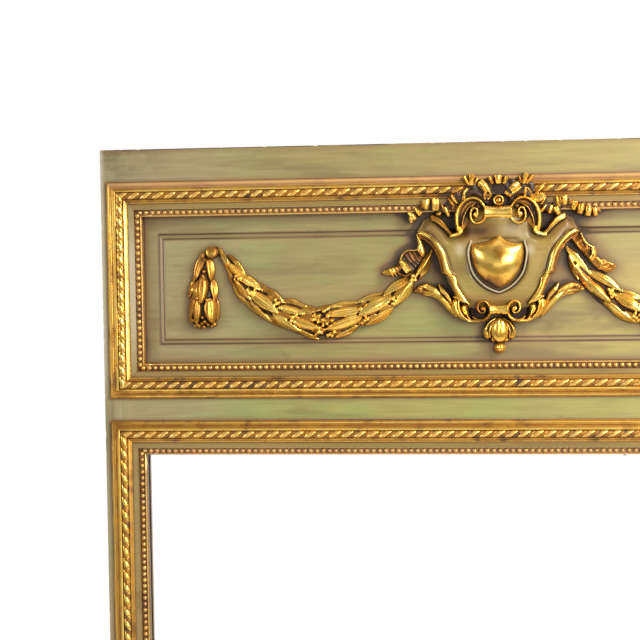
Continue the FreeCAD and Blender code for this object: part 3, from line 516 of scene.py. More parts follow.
class Relief:
    """A carved piece as heights over a fine grid."""

    def __init__(self, x0, x1, z0, z1, step=0.6):
        self.step = step
        self.x = np.arange(x0, x1 + step, step)
        self.z = np.arange(z0, z1 + step, step)
        self.X, self.Z = np.meshgrid(self.x, self.z)
        self.H = np.zeros(self.X.shape)
        self.G = np.zeros(self.X.shape)
        self.D = np.zeros(self.X.shape)      # extra dirt, and painted shade on some pieces
        self.P = None                        # pale paint: painted highlights
        self.core = np.zeros(self.X.shape)

    def win(self, P, pad):
        P = np.asarray(P)
        i0, i1 = np.searchsorted(self.x, [P[:, 0].min() - pad, P[:, 0].max() + pad])
        j0, j1 = np.searchsorted(self.z, [P[:, 1].min() - pad, P[:, 1].max() + pad])
        return slice(max(j0 - 1, 0), j1 + 1), slice(max(i0 - 1, 0), i1 + 1)

    def put(self, w, h, m, gilt, dirt=0.0, mode="max"):
        H = self.H[w]
        if mode == "max":
            m = m & (h > H)
        elif mode == "cut":
            m = m & (h < H)
        H[m] = (h if np.ndim(h) else np.full(H.shape, float(h)))[m]
        if gilt is not None:
            self.G[w][m] = gilt[m] if np.ndim(gilt) else gilt
        self.D[w][m] = dirt[m] if np.ndim(dirt) else dirt

    def stroke(self, path, width, top, low=0.0, prof="round", gilt=1.0, n=6, on_core=False, closed=False,
               dirt=0.0, mode="max", square=False):
        L, sp = crv(path, n, closed)
        width = np.broadcast_to(np.asarray(width, float), (len(path),))
        top = np.broadcast_to(np.asarray(top, float), (len(path),))
        low = np.broadcast_to(np.asarray(low, float), (len(path),))
        w = self.win(L, width.max() / 2 + 1)
        X, Z = self.X[w], self.Z[w]
        if X.size == 0:
            return
        d, s, side = nearest(X, Z, L)
        hw = np.interp(s, sp, width) / 2
        t = d / np.maximum(hw, 1e-6)
        m = t < 1
        if square:
            # cut the ends off square
            for e, (a, b) in ((0, (L[0], L[1])), (1, (L[-1], L[-2]))):
                dx, dz = b - a
                m &= ~((s == e) & ((X - a[0]) * dx + (Z - a[1]) * dz < 0))
        q = t * side
        p = PROF[prof](np.clip(t, 0, 1), np.clip(q, -1, 1))
        a, b = np.interp(s, sp, low), np.interp(s, sp, top)
        h = a + (b - a) * p
        if on_core:
            h = h + self.core[w]
        self.put(w, h, m, gilt, dirt, mode)

    def leaf(self, p0, p1, width, lift=3.0, bend=0.0, prof="leaf", low=0.3, belly=0.8, gilt=1.0, dirt=0.0, tip=0.9,
             on_core=True, base=0.0):
        """Pointed leaf from p0 to its tip p1; the tip stands higher than the root."""
        p0, p1 = np.array(p0, float), np.array(p1, float)
        v = p1 - p0
        nrm = np.array([-v[1], v[0]])
        L, sp = crv([p0, (p0 + p1) / 2 + nrm * bend, p1], 8)
        w = self.win(L, width / 2 + 1)
        X, Z = self.X[w], self.Z[w]
        if X.size == 0:
            return
        d, s, side = nearest(X, Z, L)
        hw = width / 2 * np.clip(np.sin(np.pi * np.clip(s, 0, 1) ** 0.85), 0, 1) ** belly
        t = d / np.maximum(hw, 1e-3)
        m = t < 1
        t = np.clip(t, 0, 1)
        up = low + (1 - low) * np.sin(np.clip(s, 0, 1) * np.pi * 0.5 / tip).clip(0, 1)
        h = base + lift * up * (0.25 + 0.75 * PROF[prof](t, t * side))
        if on_core:
            h = h + self.core[w]
        self.put(w, h, m, gilt, dirt)

    def ball(self, x, z, r, base=0.0, gilt=1.0, on_core=True, flat=1.0, dirt=0.0):
        w = self.win([(x, z)], r + 1)
        X, Z = self.X[w], self.Z[w]
        if X.size == 0:
            return
        d2 = (X - x) ** 2 + (Z - z) ** 2
        h = base + flat * np.sqrt(np.clip(r * r - d2, 0, None))
        if on_core:
            j = np.argmin(abs(self.z - z))
            i = np.argmin(abs(self.x - x))
            h = h + self.core[j, i]
        self.put(w, h, d2 < r * r, gilt, dirt)

    def poly(self, outline, fn, gilt=1.0, n=6, smooth=True, dirt=0.0, mode="max"):
        """A closed outline; fn(distance from its edge, X, Z) gives the height."""
        L = crv(outline, n, True)[0] if smooth else np.array(list(outline) + [outline[0]], float)
        w = self.win(L, 1.5)
        X, Z = self.X[w], self.Z[w]
        if X.size == 0:
            return
        d, _, _ = nearest(X, Z, L)
        m = inside(X, Z, L[:-1])
        h = fn(d, X, Z)
        g = gilt(d, X, Z) if callable(gilt) else gilt
        self.put(w, h, m, g, dirt, mode)

    def mesh(self, name, base, mat, body, node=None, mirror=False, slot=None, soften=0.0, low_dirt=0.45):
        H = self.H
        if soften:
            on = (H > 0) * 1.0
            B = blur(H, soften) / np.maximum(blur(on, soften), 1e-3)
            H = np.where(H > 0, np.maximum(B, 0.05), 0)
        cell = self.step
        b1, b2, b3 = blur(H, 0.9 / cell), blur(H, 2.2 / cell), blur(H, 5.0 / cell)
        cav = np.clip((b1 - H) * 0.60 + (b2 - H) * 0.42 + (b3 - H) * 0.10 + 0.03, 0, 1)
        cav = np.clip(cav + low_dirt * np.clip((8.0 - H) / 8.0, 0, 1), 0, 1)
        on = H > 0
        quad = on[:-1, :-1] | on[1:, :-1] | on[:-1, 1:] | on[1:, 1:]
        used = np.zeros(on.shape, bool)
        used[:-1, :-1] |= quad
        used[1:, :-1] |= quad
        used[:-1, 1:] |= quad
        used[1:, 1:] |= quad
        idx = np.full(on.shape, -1, np.int64)
        idx[used] = np.arange(used.sum())
        Y = np.where(on, -(-Y0 + H), base)
        Y = np.minimum(Y, base)
        sgn = -1.0 if mirror else 1.0
        V = np.stack([sgn * self.X[used], Y[used], self.Z[used] + ZO], 1)
        j, i = np.nonzero(quad)
        F = np.stack([idx[j, i], idx[j, i + 1], idx[j + 1, i + 1], idx[j + 1, i]], 1)
        if mirror:
            F = F[:, ::-1]
        core = on.copy()
        core[1:] &= on[:-1]
        core[:-1] &= on[1:]
        core[:, 1:] &= on[:, :-1]
        core[:, :-1] &= on[:, 1:]
        # dirt sits along the outline, and broad hollows are duller than crests
        cav = np.where(on & ~core, np.maximum(cav, 0.42), cav)
        cv = np.maximum(cav, self.D)
        cv = np.where(on, cv, 0.9)
        attrs = {"cav": cv[used], "gilt": np.where(on, self.G, blur(np.where(on, self.G, 0), 1.5))[used]}
        if self.P is not None:
            attrs["pale"] = self.P[used]
        # a flat back, so that the piece is closed: its rim is filled as one face set
        ob = new_mesh(name, V, F, mat, body, attrs)
        import bmesh
        bm = bmesh.new()
        bm.from_mesh(ob.data)
        rim = [e for e in bm.edges if e.is_boundary]
        if rim:
            bmesh.ops.triangle_fill(bm, edges=rim, use_beauty=False)
        bm.normal_update()
        bm.to_mesh(ob.data)
        bm.free()
        if node:
            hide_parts(node)
        return ob


# ---------------------------------------------------------------- mouldings
PITCH, THETA = 17.8, math.radians(40)
RU0, RU1, RH = 14.6, 24.9, 4.6


def arc3(a, b, c, n):
    """Points on the circle arc a-b-c, without a."""
    ax, ay = a
    bx, by = b
    cx, cy = c
    d = 2 * (ax * (by - cy) + bx * (cy - ay) + cx * (ay - by))
    ux = ((ax * ax + ay * ay) * (by - cy) + (bx * bx + by * by) * (cy - ay) + (cx * cx + cy * cy) * (ay - by)) / d
    uy = ((ax * ax + ay * ay) * (cx - bx) + (bx * bx + by * by) * (ax - cx) + (cx * cx + cy * cy) * (bx - ax)) / d
    r = math.hypot(ax - ux, ay - uy)
    t = [math.atan2(p[1] - uy, p[0] - ux) for p in (a, b, c)]
    while t[1] - t[0] > math.pi:
        t[1] -= 2 * math.pi
    while t[1] - t[0] < -math.pi:
        t[1] += 2 * math.pi
    while t[2] - t[1] > math.pi:
        t[2] -= 2 * math.pi
    while t[2] - t[1] < -math.pi:
        t[2] += 2 * math.pi
    return [(ux + r * math.cos(q), uy + r * math.sin(q)) for q in np.linspace(t[0], t[2], n + 1)[1:]]


# (u, height, hollow, gilt)
SHELL = [(0, 0, .9, 1), (0, 1.2, .8, 1), (0, 2.2, .45, 1), (1.2, 2.2, .62, 1)]
SHELL += [(u, h, .62 - .60 * math.sin(math.pi * min(1, (i + 1) / 7)) ** .7 if i < 7 else .55, 1)
          for i, (u, h) in enumerate(arc3((1.2, 2.2), (3.6, 5.0), (6.4, 5.6), 8))]
SHELL += [(6.7, 5.4, .50, 1), (7.2, 4.9, .66, 1)]
SHELL += [(u, h, (.72, .58, .45, .30, .16, .05)[i], 1)
          for i, (u, h) in enumerate(arc3((7.2, 4.9), (9.4, 6.7), (12.0, 7.2), 6))]
SHELL += [(12.5, 7.25, 0, 1), (13.3, 7.25, 0, 1), (13.8, 7.1, .02, 1), (14.1, 6.2, .5, 1), (14.4, RH, .95, 1),
          (24.95, RH, .85, 1), (25.1, 5.7, .50, 1), (25.5, 6.05, .12, 1), (26.2, 5.95, .08, 1), (27.1, 5.5, .14, 1),
          (28.0, 4.95, .20, 1), (28.9, 4.4, .26, 1), (29.3, 4.2, .30, 1), (29.5, 4.35, .02, 1), (30.4, 4.35, .0, 1),
          (30.7, 4.1, .5, 1), (30.9, 3.4, .9, .6),
          (31.6, 3.4, .66, 0), (33.0, 3.4, .24, 0), (36.5, 3.4, .12, 0), (38.6, 3.4, .30, 0), (39.3, 3.4, .55, 0),
          (39.5, 3.0, .42, 0), (39.5, -1, .34, 0), (39.5, -4, .40, 0), (39.5, -12, 1, 0), (39.5, -15.8, 1, 0),
          (35.2, -15.8, 1, 0), (35.2, -.2, 1, 0), (35.0, 0, 1, 0)]


def member(x, z0, z1, side):
    """Length, and the map from (s along, u inwards, height) to the row frame."""
    if side in ("top", "bottom"):
        zz, k = (z1, -1) if side == "top" else (z0, 1)
        return 2 * x, lambda s, u, h: np.stack([-x + s, -(T + h), zz + k * u], -1), k
    xx, k = (-x, 1) if side == "left" else (x, -1)
    return z1 - z0, lambda s, u, h: np.stack([xx + k * u, -(T + h), z0 + s], -1), k


def rope_height(s, u, sgn):
    t = (u - (RU0 + RU1) / 2) / ((RU1 - RU0) / 2)
    base = 5.6 * np.sqrt(np.clip(1 - 0.93 * t * t, 0, 1))
    f = np.mod((s - sgn * (u - (RU0 + RU1) / 2) / math.tan(THETA)) / PITCH, 1.0)
    k = np.floor((s - sgn * (u - (RU0 + RU1) / 2) / math.tan(THETA)) / PITCH)
    a = (f - 0.30) / 0.30
    b = (f - 0.79) / 0.18
    ha = np.where(abs(a) < 1, np.sqrt(np.clip(1 - a * a, 0, 1)), 0)
    hb = np.where(abs(b) < 1, 0.62 * np.sqrt(np.clip(1 - b * b, 0, 1)) * (1 - 0.35 * np.exp(-(b / 0.22) ** 2)), 0)
    g = np.maximum(ha, hb)
    h = base * (0.50 + 0.50 * g) + 0.12 * np.sin(k * 2.3)
    cav = np.clip(0.95 - 1.35 * g + 0.45 * np.abs(t) ** 3, 0, 1)
    cav = np.where(abs(b) < 1, np.maximum(cav, 0.50), cav)
    return RH + 0.3 + h, cav


def make_moulding(name, x, z0, z1, side, grime_and_shade):
    L, place, k = member(x, z0, z1, side)
    prof = np.array(SHELL)
    nu = len(prof)
    n = int(L / 11)
    t = np.linspace(0, 1, n + 1)[:, None]
    u, h, cav, g = (prof[:, i][None, :].repeat(n + 1, 0) for i in range(4))
    s = u + t * (L - 2 * u)
    ph = rng.uniform(0, 6.28, 4)
    wav = 0.10 * (np.sin(s / 37 + ph[0]) + np.sin(s / 91 + ph[1])) * (h > 0.5) * (h < 7)
    V = place(s, u, h + wav).reshape(-1, 3)
    i, j = np.meshgrid(np.arange(n), np.arange(nu), indexing="ij")
    jn = (j + 1) % nu
    F = np.stack([i * nu + j, (i + 1) * nu + j, (i + 1) * nu + jn, i * nu + jn], -1).reshape(-1, 4)
    flipf = side in ("bottom", "right")
    if flipf:
        F = F[:, ::-1]
    corner = np.minimum(s, L - s)
    dirt = np.clip(1 - corner / 45.0, 0, 1) * 0.40 * grime_and_shade
    cv = np.clip(cav * 0.95 + 0.08 + dirt, 0, 1)
    # the top member is darker round the bow: dirt and painted shade
    if name == "frieze_moulding_top":
        cv = np.clip(cv + 0.42 * np.clip(1 - np.clip(np.abs(s - x) - 58, 0, None) / 42.0, 0, 1), 0, 1)
    slope = ((u > 24.9) & (u < 31.0)).astype(float)
    # the level members are darker on their slopes and the upright ones lighter: painted shade and light from how each
    # faces the light, with dirt on the level ones
    if side in ("top", "bottom"):
        cv = np.clip(cv + 0.20 * slope * (u < 29.4) + 0.06 * (u < 9.0), 0, 1)
    else:
        cv = np.clip(cv - 0.14 + 0.12 * slope, 0, 1)
    if name == "frieze_moulding_left":
        # this member is painted lighter, for the stronger light it catches
        cv = np.where(slope > 0, cv, np.clip(cv * 0.80 - 0.08, 0, 1))
    elif name == "mirror_moulding_left":
        # the slope of this member is painted darker, for its weaker highlight
        cv = np.clip(cv + 0.14 * slope, 0, 1)
    if name == "frieze_moulding_top":
        # the outer roll of the top member is rubbed to the pinkish brown ground
        worn = ((u > 0.1) & (u < 9.0)).astype(float)
        cv = np.where(worn > 0, np.clip(cv * 0.45, 0, 0.34) + 0.04, cv)
    # the hollows of the outer members are toned brown rather than black
    cv = np.where((u > 0.6) & (u < 14.5), np.minimum(cv, 0.44), np.where(u < 31.0, np.minimum(cv, 0.60), cv))
    rub = 0.10 * (u < 31.0) + 0.0 * g
    if name == "frieze_moulding_top":
        rub = np.maximum(rub, 0.84 * (u < 8.8))
    if side == "top":
        # the step down to the pearls, seen from below, is painted pale to lift the shade it lies in
        step = (u > 39.2) & (h > -5.0)
        cv = np.where(step, 0.12, cv)
    # the flat of the left frieze member carries a painted sheen, fading out toward its ends
    pale = ((u > 32.0) & (u < 39.6)) * (0.62 if name == "frieze_moulding_left" else 0.0) * np.clip(corner / 70.0 - 0.5, 0, 1)
    if side == "top":
        pale = np.where(step, 0.55, pale)
    ob = new_mesh("v_" + name, V, F, M_CARVED, "frame", {"cav": cv.ravel(), "gilt": g.ravel(), "pale": pale.ravel(),
                                                          "rub": rub.ravel()})
    import bmesh
    bm = bmesh.new()
    bm.from_mesh(ob.data)
    bmesh.ops.triangle_fill(bm, edges=[e for e in bm.edges if e.is_boundary], use_beauty=False)
    bmesh.ops.recalc_face_normals(bm, faces=bm.faces)
    bm.to_mesh(ob.data)
    bm.free()
    # a hard arris between faces that meet at more than 55 degrees
    ob.data.set_sharp_from_angle(angle=math.radians(55))
    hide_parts(name)
    # rope
    nr = 15
    uu = np.linspace(RU0, RU1, nr)
    e = 14
    k1 = np.arange(e) / e
    mid = np.arange(RU1 + 2.0, L - RU1 - 2.0, 1.15)
    mid = np.linspace(mid[0], L - mid[0], len(mid))
    S = np.vstack([uu + (mid[0] - uu) * q for q in k1] + [np.full(nr, m) for m in mid]
                  + [L - (uu + (mid[0] - uu) * q) for q in k1[::-1]])
    sgn = {"top": -1, "bottom": 1, "left": -1, "right": 1}[side]
    H, cv = rope_height(S, uu[None, :].repeat(len(S), 0), sgn)
    H[:, 0] = H[:, -1] = RH + 0.25
    if name == "frieze_moulding_left":
        cv = np.clip(cv * 0.78 - 0.05, 0, 1)
    # the rope of the top member is darker round the bow too: dirt and painted shade
    if name == "frieze_moulding_top":
        cv = np.clip(cv + 0.40 * np.clip(1 - np.clip(np.abs(S - x) - 58, 0, None) / 42.0, 0, 1), 0, 1)
    cv = np.minimum(cv, 0.66)
    cv[:, 0] = cv[:, -1] = 0.8
    V1 = place(S, uu[None, :].repeat(len(S), 0), H)
    V2 = place(S[:, [-1, 0]], np.array([[RU1, RU0]]).repeat(len(S), 0), np.full((len(S), 2), RH - 0.4))
    V = np.concatenate([V1, V2], 1)
    m = nr + 2
    i, j = np.meshgrid(np.arange(len(S) - 1), np.arange(m), indexing="ij")
    jn = (j + 1) % m
    F = np.stack([i * m + j, (i + 1) * m + j, (i + 1) * m + jn, i * m + jn], -1).reshape(-1, 4)
    caps = [np.arange(m)[None, :], ((len(S) - 1) * m + np.arange(m))[None, ::-1]]
    if flipf:
        F = F[:, ::-1]
        caps = [c[:, ::-1] for c in caps]
    cvs = np.concatenate([cv, np.ones((len(S), 2))], 1)
    rope = new_mesh("v_" + name + "_rope", V.reshape(-1, 3), [F] + caps, M_CARVED, "frame",
                    {"cav": cvs.ravel(), "gilt": np.ones(cvs.size), "rub": (0.06 + 0.34 * sstep(0.20 - cvs, 0.0, 0.16)
                                                                           * (side in ("top", "bottom"))).ravel()})
    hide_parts(name)
    return ob


# pearl slip: strip, beads, fillet
STRIP = [(39.7, -15.8, 1, 0), (39.7, -3.9, .45, 1), (40.4, -3.9, .55, 1), (46.8, -3.9, .55, 1), (47.6, -3.7, .45, 1),
         (47.8, -2.3, .16, 1), (48.1, -2.0, .06, 1), (49.4, -2.0, .06, 1), (49.8, -2.4, .30, 1), (50.1, -6.0, .50, .8),
         (50.5, -12.0, .55, 0), (50.5, -15.8, .80, 0)]
BU, BR, BB = 43.7, 3.6, -3.7


def bead():
    V, C = [], []
    rings, seg = 5, 14
    for i in range(rings):
        a = math.radians(-8 + 98 * i / rings)
        for j in range(seg):
            b = 2 * math.pi * j / seg
            V.append((BR * math.cos(a) * math.cos(b), BR * math.cos(a) * math.sin(b), BR * math.sin(a)))
            C.append((.70, .50, .30, .16, .08)[i])
    V.append((0, 0, BR))
    C.append(0)
    V = np.array(V)
    V[:, 2] += 0.45
    Q = [(i * seg + j, i * seg + (j + 1) % seg, (i + 1) * seg + (j + 1) % seg, (i + 1) * seg + j)
         for i in range(rings - 1) for j in range(seg)]
    top = len(V) - 1
    Tt = [((rings - 1) * seg + j, (rings - 1) * seg + (j + 1) % seg, top) for j in range(seg)]
    bot = [tuple(range(seg))[::-1]]
    return V, np.array(Q), np.array(Tt), np.array(bot), np.array(C)


BEAD = bead()


def make_pearls(name, x, z0, z1, side):
    L, place, k = member(x, z0, z1, side)
    prof = np.array(STRIP)
    nu = len(prof)
    n = int(L / 30)
    t = np.linspace(0, 1, n + 1)[:, None]
    u, h, cav, g = (prof[:, i][None, :].repeat(n + 1, 0) for i in range(4))
    s = u + t * (L - 2 * u)
    V = [place(s, u, h).reshape(-1, 3)]
    i, j = np.meshgrid(np.arange(n), np.arange(nu), indexing="ij")
    jn = (j + 1) % nu
    F = np.stack([i * nu + j, (i + 1) * nu + j, (i + 1) * nu + jn, i * nu + jn], -1).reshape(-1, 4)
    caps = [np.arange(nu)[None, :], (n * nu + np.arange(nu))[None, ::-1]]
    flipf = side in ("bottom", "right")
    if flipf:
        F = F[:, ::-1]
        caps = [c[:, ::-1] for c in caps]
    faces = {4: [F], nu: caps}
    C, G = [cav.ravel()], [g.ravel()]
    span = L - 2 * (BU + 4.6)
    pitch = 9.0 if side in ("top", "bottom") else 8.8
    nb = int(round(span / pitch))
    off = (n + 1) * nu
    bv, bq, bt, bb, bc = BEAD
    tri, qd, ng = [], [F], []
    for q in range(nb + 1):
        sc = BU + 4.6 + span * q / nb
        r = 1 + rng.normal(0, 0.02)
        P = place(sc + bv[:, 0] * r + rng.normal(0, 0.06), BU + bv[:, 1] * r + rng.normal(0, 0.05),
                  BB + bv[:, 2] * r)
        V.append(P)
        a, b, c = bq + off, bt + off, bb + off
        if flipf:
            a, b, c = a[:, ::-1], b[:, ::-1], c[:, ::-1]
        qd.append(a)
        tri.append(b)
        ng.append(c)
        C.append(np.clip(bc + rng.normal(0.05, 0.08), 0, 1))
        G.append(np.ones(len(bc)))
        off += len(bv)
    # most of the leaf is gone from the pearls, least at the lower ones
    rub = {"top": 0.72, "bottom": 0.50, "left": 0.52, "right": 0.45}[side]
    cc = np.concatenate(C) * (0.70 if side == "top" else 1.0)
    ob = new_mesh("v_" + name, np.vstack(V), [np.vstack(qd), np.vstack(tri), np.vstack(ng)] + caps, M_CARVED, "frame",
                  {"cav": cc, "gilt": np.concatenate(G), "rub": np.full(len(cc), rub)})
    import bmesh
    bm = bmesh.new()
    bm.from_mesh(ob.data)
    bmesh.ops.recalc_face_normals(bm, faces=bm.faces)
    bm.to_mesh(ob.data)
    bm.free()
    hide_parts(name)


for fname, (z0, z1) in {"frieze": FRZ, "mirror": MIR}.items():
    for side in ("top", "bottom", "left", "right"):
        make_moulding(f"{fname}_moulding_{side}", XM, z0, z1, side, 1.0)
        make_pearls(f"{fname}_pearls_{side}", XM, z0, z1, side)


# ---------------------------------------------------------------- carved ornament
HALO_X = np.arange(-526, 527, 1.5)
HALO_Z = np.arange(ZO + 108, ZO + 372, 1.5)
halo_h = np.zeros((len(HALO_Z), len(HALO_X)))


def stamp(R, mirror=False):
    """Notes how far a piece stands out, for the dirt and painted shadow it leaves on the panel round it."""
    on = R.H > 0
    X = R.X[on] * (-1 if mirror else 1)
    i = np.clip(((X - HALO_X[0]) / 1.5).round().astype(int), 0, len(HALO_X) - 1)
    j = np.clip(((R.Z[on] + ZO - HALO_Z[0]) / 1.5).round().astype(int), 0, len(HALO_Z) - 1)
    np.maximum.at(halo_h, (j, i), np.minimum(R.H[on], 26.0))


BASE = Y0 + 0.25       # the backs of the carvings are let in a little


def place_relief(R, node, mat=None, mirror=False, base=BASE, slot="gilding", soften=0.0, name=None):
    stamp(R, mirror)
    return R.mesh("v_" + (name or node), base, mat or M_CARVED, "frame", node, mirror, slot, soften)


def leaf_rows(R, centre, half, rows, length, width, lift, gilt=1.0, seed=1, spread=0.42, berries=True):
    """Overlapping bay leaves along a garland: centre runs with the way the tips point."""
    r = np.random.default_rng(seed)
    L, sp = crv(centre, 10)
    s = np.r_[0, np.cumsum(np.hypot(*np.diff(L, axis=0).T))]
    n = int(s[-1] / rows)
    for i in range(n):
        for side in (-1.0, 1.0, 0.0):
            t = (i + 0.5 * (side == 0)) / n
            p = np.array([np.interp(t * s[-1], s, L[:, k]) for k in (0, 1)])
            q = np.array([np.interp(min(t * s[-1] + 3, s[-1]), s, L[:, k]) for k in (0, 1)])
            d = q - p
            nn = np.hypot(*d)
            if nn < 1e-6:
                continue
            d /= nn
            nrm = np.array([-d[1], d[0]])
            hw = np.interp(t, np.linspace(0, 1, len(half)), half)
            a = side * spread + r.normal(0, 0.10)
            dr = d * math.cos(a) + nrm * math.sin(a)
            le = length * r.uniform(0.85, 1.15)
            root = p + nrm * side * max(hw - le * math.sin(abs(a)) * 0.9, hw * 0.25)
            R.leaf(root, root + dr * le, width * r.uniform(0.85, 1.1), lift * r.uniform(0.8, 1.1) * (0.8 if side else 1.0),
                   bend=side * 0.07, prof="leaf" if r.uniform() < 0.6 else "leaf2", gilt=gilt,
                   dirt=float(r.uniform(0, 0.25)))


# swags of bay leaves and berries
UP = [(-400, 300), (-385, 286), (-372, 272), (-360, 260), (-350, 250), (-338, 240), (-322, 231), (-308, 222),
      (-292, 214), (-265, 213), (-240, 214), (-215, 214), (-200, 216), (-190, 222), (-175, 227), (-162, 229),
      (-150, 238), (-135, 247), (-125, 252), (-113, 268), (-105, 277), (-93, 292)]
LO = [(-393, 290), (-388, 275), (-383, 262), (-380, 252), (-375, 240), (-368, 228), (-358, 216), (-350, 208),
      (-340, 200), (-325, 190), (-310, 182), (-290, 175), (-272, 169), (-258, 166), (-245, 167), (-228, 168),
      (-210, 174), (-195, 181), (-185, 183), (-165, 192), (-150, 203), (-140, 209), (-130, 218), (-122, 230),
      (-112, 248), (-100, 262), (-95, 275), (-90, 290)]
# root, tip, width, lift, bend, worn; drawn in this order
LEAVES = [
    # under leaves, darker
    ((-392, 284), (-380, 256), 9, 2.5, 0, .35), ((-386, 262), (-372, 236), 9, 2.5, 0, .4), ((-378, 238), (-356, 214), 9, 3, 0, .35),
    ((-362, 222), (-336, 198), 10, 3, 0, .35), ((-352, 246), (-326, 232), 10, 3, .05, .35), ((-334, 228), (-304, 218), 11, 3.5, 0, .35),
    ((-338, 204), (-308, 183), 10, 3, 0, .35), ((-316, 206), (-282, 196), 14, 3, 0, .4), ((-304, 188), (-272, 171), 11, 3, 0, .35),
    ((-308, 222), (-276, 211), 10, 4, .04, .3), ((-286, 210), (-254, 206), 11, 4, 0, .35), ((-284, 198), (-252, 195), 13, 4, 0, .4),
    ((-272, 184), (-246, 177), 12, 4, 0, .4), ((-230, 210), (-258, 208), 10, 3, 0, .35), ((-226, 196), (-256, 190), 13, 3, 0, .4),
    ((-214, 182), (-244, 170), 11, 3, 0, .35), ((-192, 196), (-222, 186), 13, 3, 0, .4), ((-186, 216), (-218, 211), 11, 3, 0, .35),
    ((-172, 200), (-200, 184), 11, 3, 0, .35), ((-150, 232), (-180, 220), 11, 3, 0, .35), ((-146, 214), (-172, 198), 10, 3, 0, .35),
    ((-128, 240), (-150, 222), 11, 3, 0, .35), ((-112, 262), (-130, 240), 10, 3, 0, .35),
    ((-384, 275), (-354, 241), 11, 4.2, .04, .18),
    # left half, tips towards the middle
    ((-400, 299), (-372, 257), 9, 4.5, -.05, 0), ((-390, 279), (-380, 252), 6, 3.5, 0, .15), ((-386, 288), (-361, 260), 6.5, 3.5, .03, .22),
    ((-376, 252), (-351, 221), 10, 6.5, -.04, 0), ((-380, 246), (-361, 221), 6.5, 4, -.04, .2), ((-374, 258), (-338, 236), 12.5, 6.5, .07, .04),
    ((-340, 240), (-307, 221), 9, 5, .05, .2), ((-354, 222), (-323, 190), 9, 5.5, -.05, .06), ((-354, 234), (-312, 203), 18, 8, 0, 0),
    ((-312, 221), (-272, 212), 8.5, 5, .03, .3), ((-322, 203), (-281, 176), 13, 7, -.04, .05), ((-313, 212), (-276, 201), 12, 7, .04, 0),
    ((-287, 181), (-255, 165), 8.5, 5.5, -.05, .08), ((-294, 193), (-252, 181), 14, 8.5, -.02, 0), ((-288, 207), (-262, 204), 8, 5, 0, .25),
    # right half
    ((-96, 278), (-112, 248), 8, 4, .05, .02), ((-92, 292), (-118, 250), 10, 5.5, 0, 0),
    ((-120, 247), (-136, 218), 8, 4, .06, .12), ((-122, 252), (-163, 226), 12.5, 6.5, -.05, .04), ((-120, 249), (-149, 210), 12, 7, .04, 0),
    ((-160, 229), (-203, 216), 9, 5, -.03, .12), ((-148, 210), (-189, 184), 11, 6, .05, .05), ((-150, 225), (-198, 199), 19, 8, -.01, 0),
    ((-196, 216), (-242, 211), 9.5, 5.5, -.02, .08), ((-198, 185), (-234, 167), 9, 5.5, .05, .08), ((-193, 207), (-246, 200), 14.5, 7.5, 0, 0),
    ((-192, 197), (-246, 179), 16, 8, .01, 0)]
BERRY = [(-357, 237), (-352, 234), (-350, 230), (-355, 232), (-347, 236), (-318, 222), (-314, 217), (-312, 211), (-317, 216),
         (-293, 197), (-290, 190), (-295, 192), (-288, 199), (-249, 193), (-249, 185), (-254, 199), (-236, 192), (-243, 208),
         (-248, 205), (-263, 193), (-251, 174), (-243, 171), (-237, 170), (-260, 172), (-256, 175), (-243, 187),
         (-256, 190), (-242, 198), (-247, 179), (-240, 180), (-233, 175), (-236, 203), (-261, 200), (-262, 184), (-254, 182),
         (-236, 185), (-121, 254), (-117, 248), (-123, 248), (-150, 222), (-150, 215), (-146, 219), (-195, 208),
         (-193, 202), (-186, 193), (-190, 191), (-193, 187), (-189, 198), (-374, 257), (-370, 253), (-376, 252)]


# the right swag starts with longer leaves (given as if on the left)
LEAVES_R = LEAVES[:-12] + [
    ((-99, 284), (-112, 244), 8, 4, .05, .30), ((-94, 292), (-128, 252), 11, 6, -.02, 0), ((-108, 268), (-131, 226), 9, 4.5, .04, .22),
    ((-122, 258), (-171, 228), 13.5, 7, -.05, .02), ((-124, 246), (-156, 213), 12, 6.5, .04, .10),
    ((-162, 230), (-203, 216), 9, 5, -.03, .12), ((-152, 211), (-191, 184), 11, 6, .05, .05), ((-160, 226), (-199, 200), 17, 8, -.01, 0),
    ((-196, 216), (-242, 211), 9.5, 5.5, -.02, .08), ((-198, 185), (-234, 167), 9, 5.5, .05, .08), ((-193, 207), (-246, 200), 14.5, 7.5, 0, 0),
    ((-192, 197), (-246, 179), 16, 8, .01, 0)]
BERRY_R = [p for p in BERRY if not (-152 < p[0] < -112)] + [(-158, 230), (-155, 226), (-160, 225), (-157, 221), (-153, 231)]


def swag(LEAVES=LEAVES, BERRY=BERRY):
    R = Relief(-406, -84, 160, 306, 0.62)
    out = at(UP, 8) + at(LO, 8)[::-1]
    L = crv(out, 4, True)[0]
    d, _, _ = nearest(R.X, R.Z, L)
    ins = inside(R.X, R.Z, L[:-1])
    core = np.where(ins, 2.0 + 12.5 * (1 - np.exp(-np.clip(d - 1.0, 0, None) / 9.5)), 0)
    R.core = np.where(ins, np.minimum(core, blur(np.where(ins, core, 1.5), 3.0) + 0.8), 1.6)
    inner = ins & (d > 3.4)
    R.H = np.where(inner, np.clip(R.core - 2.0, 0.6, None), 0)
    R.G[:] = np.where(inner, 1.0, 0.0)
    R.D[:] = np.where(inner, 0.68, 0)
    for a, b, w, h, bend, worn in LEAVES:
        a, b = at([a, b], 5)
        R.leaf(a, b, w, h, bend=bend, prof="leaf2" if w > 12 else "leaf", dirt=worn, belly=0.62, low=0.45)
    for i, p in enumerate(BERRY):
        x, z = at([p], 3)[0]
        R.ball(x, z, 2.7 if i % 3 else 3.2, base=3.6, flat=1.35)
    return R


place_relief(swag(), "swag_left", soften=1.3)
place_relief(swag(LEAVES_R, BERRY_R), "swag_right", mirror=True, soften=1.3)


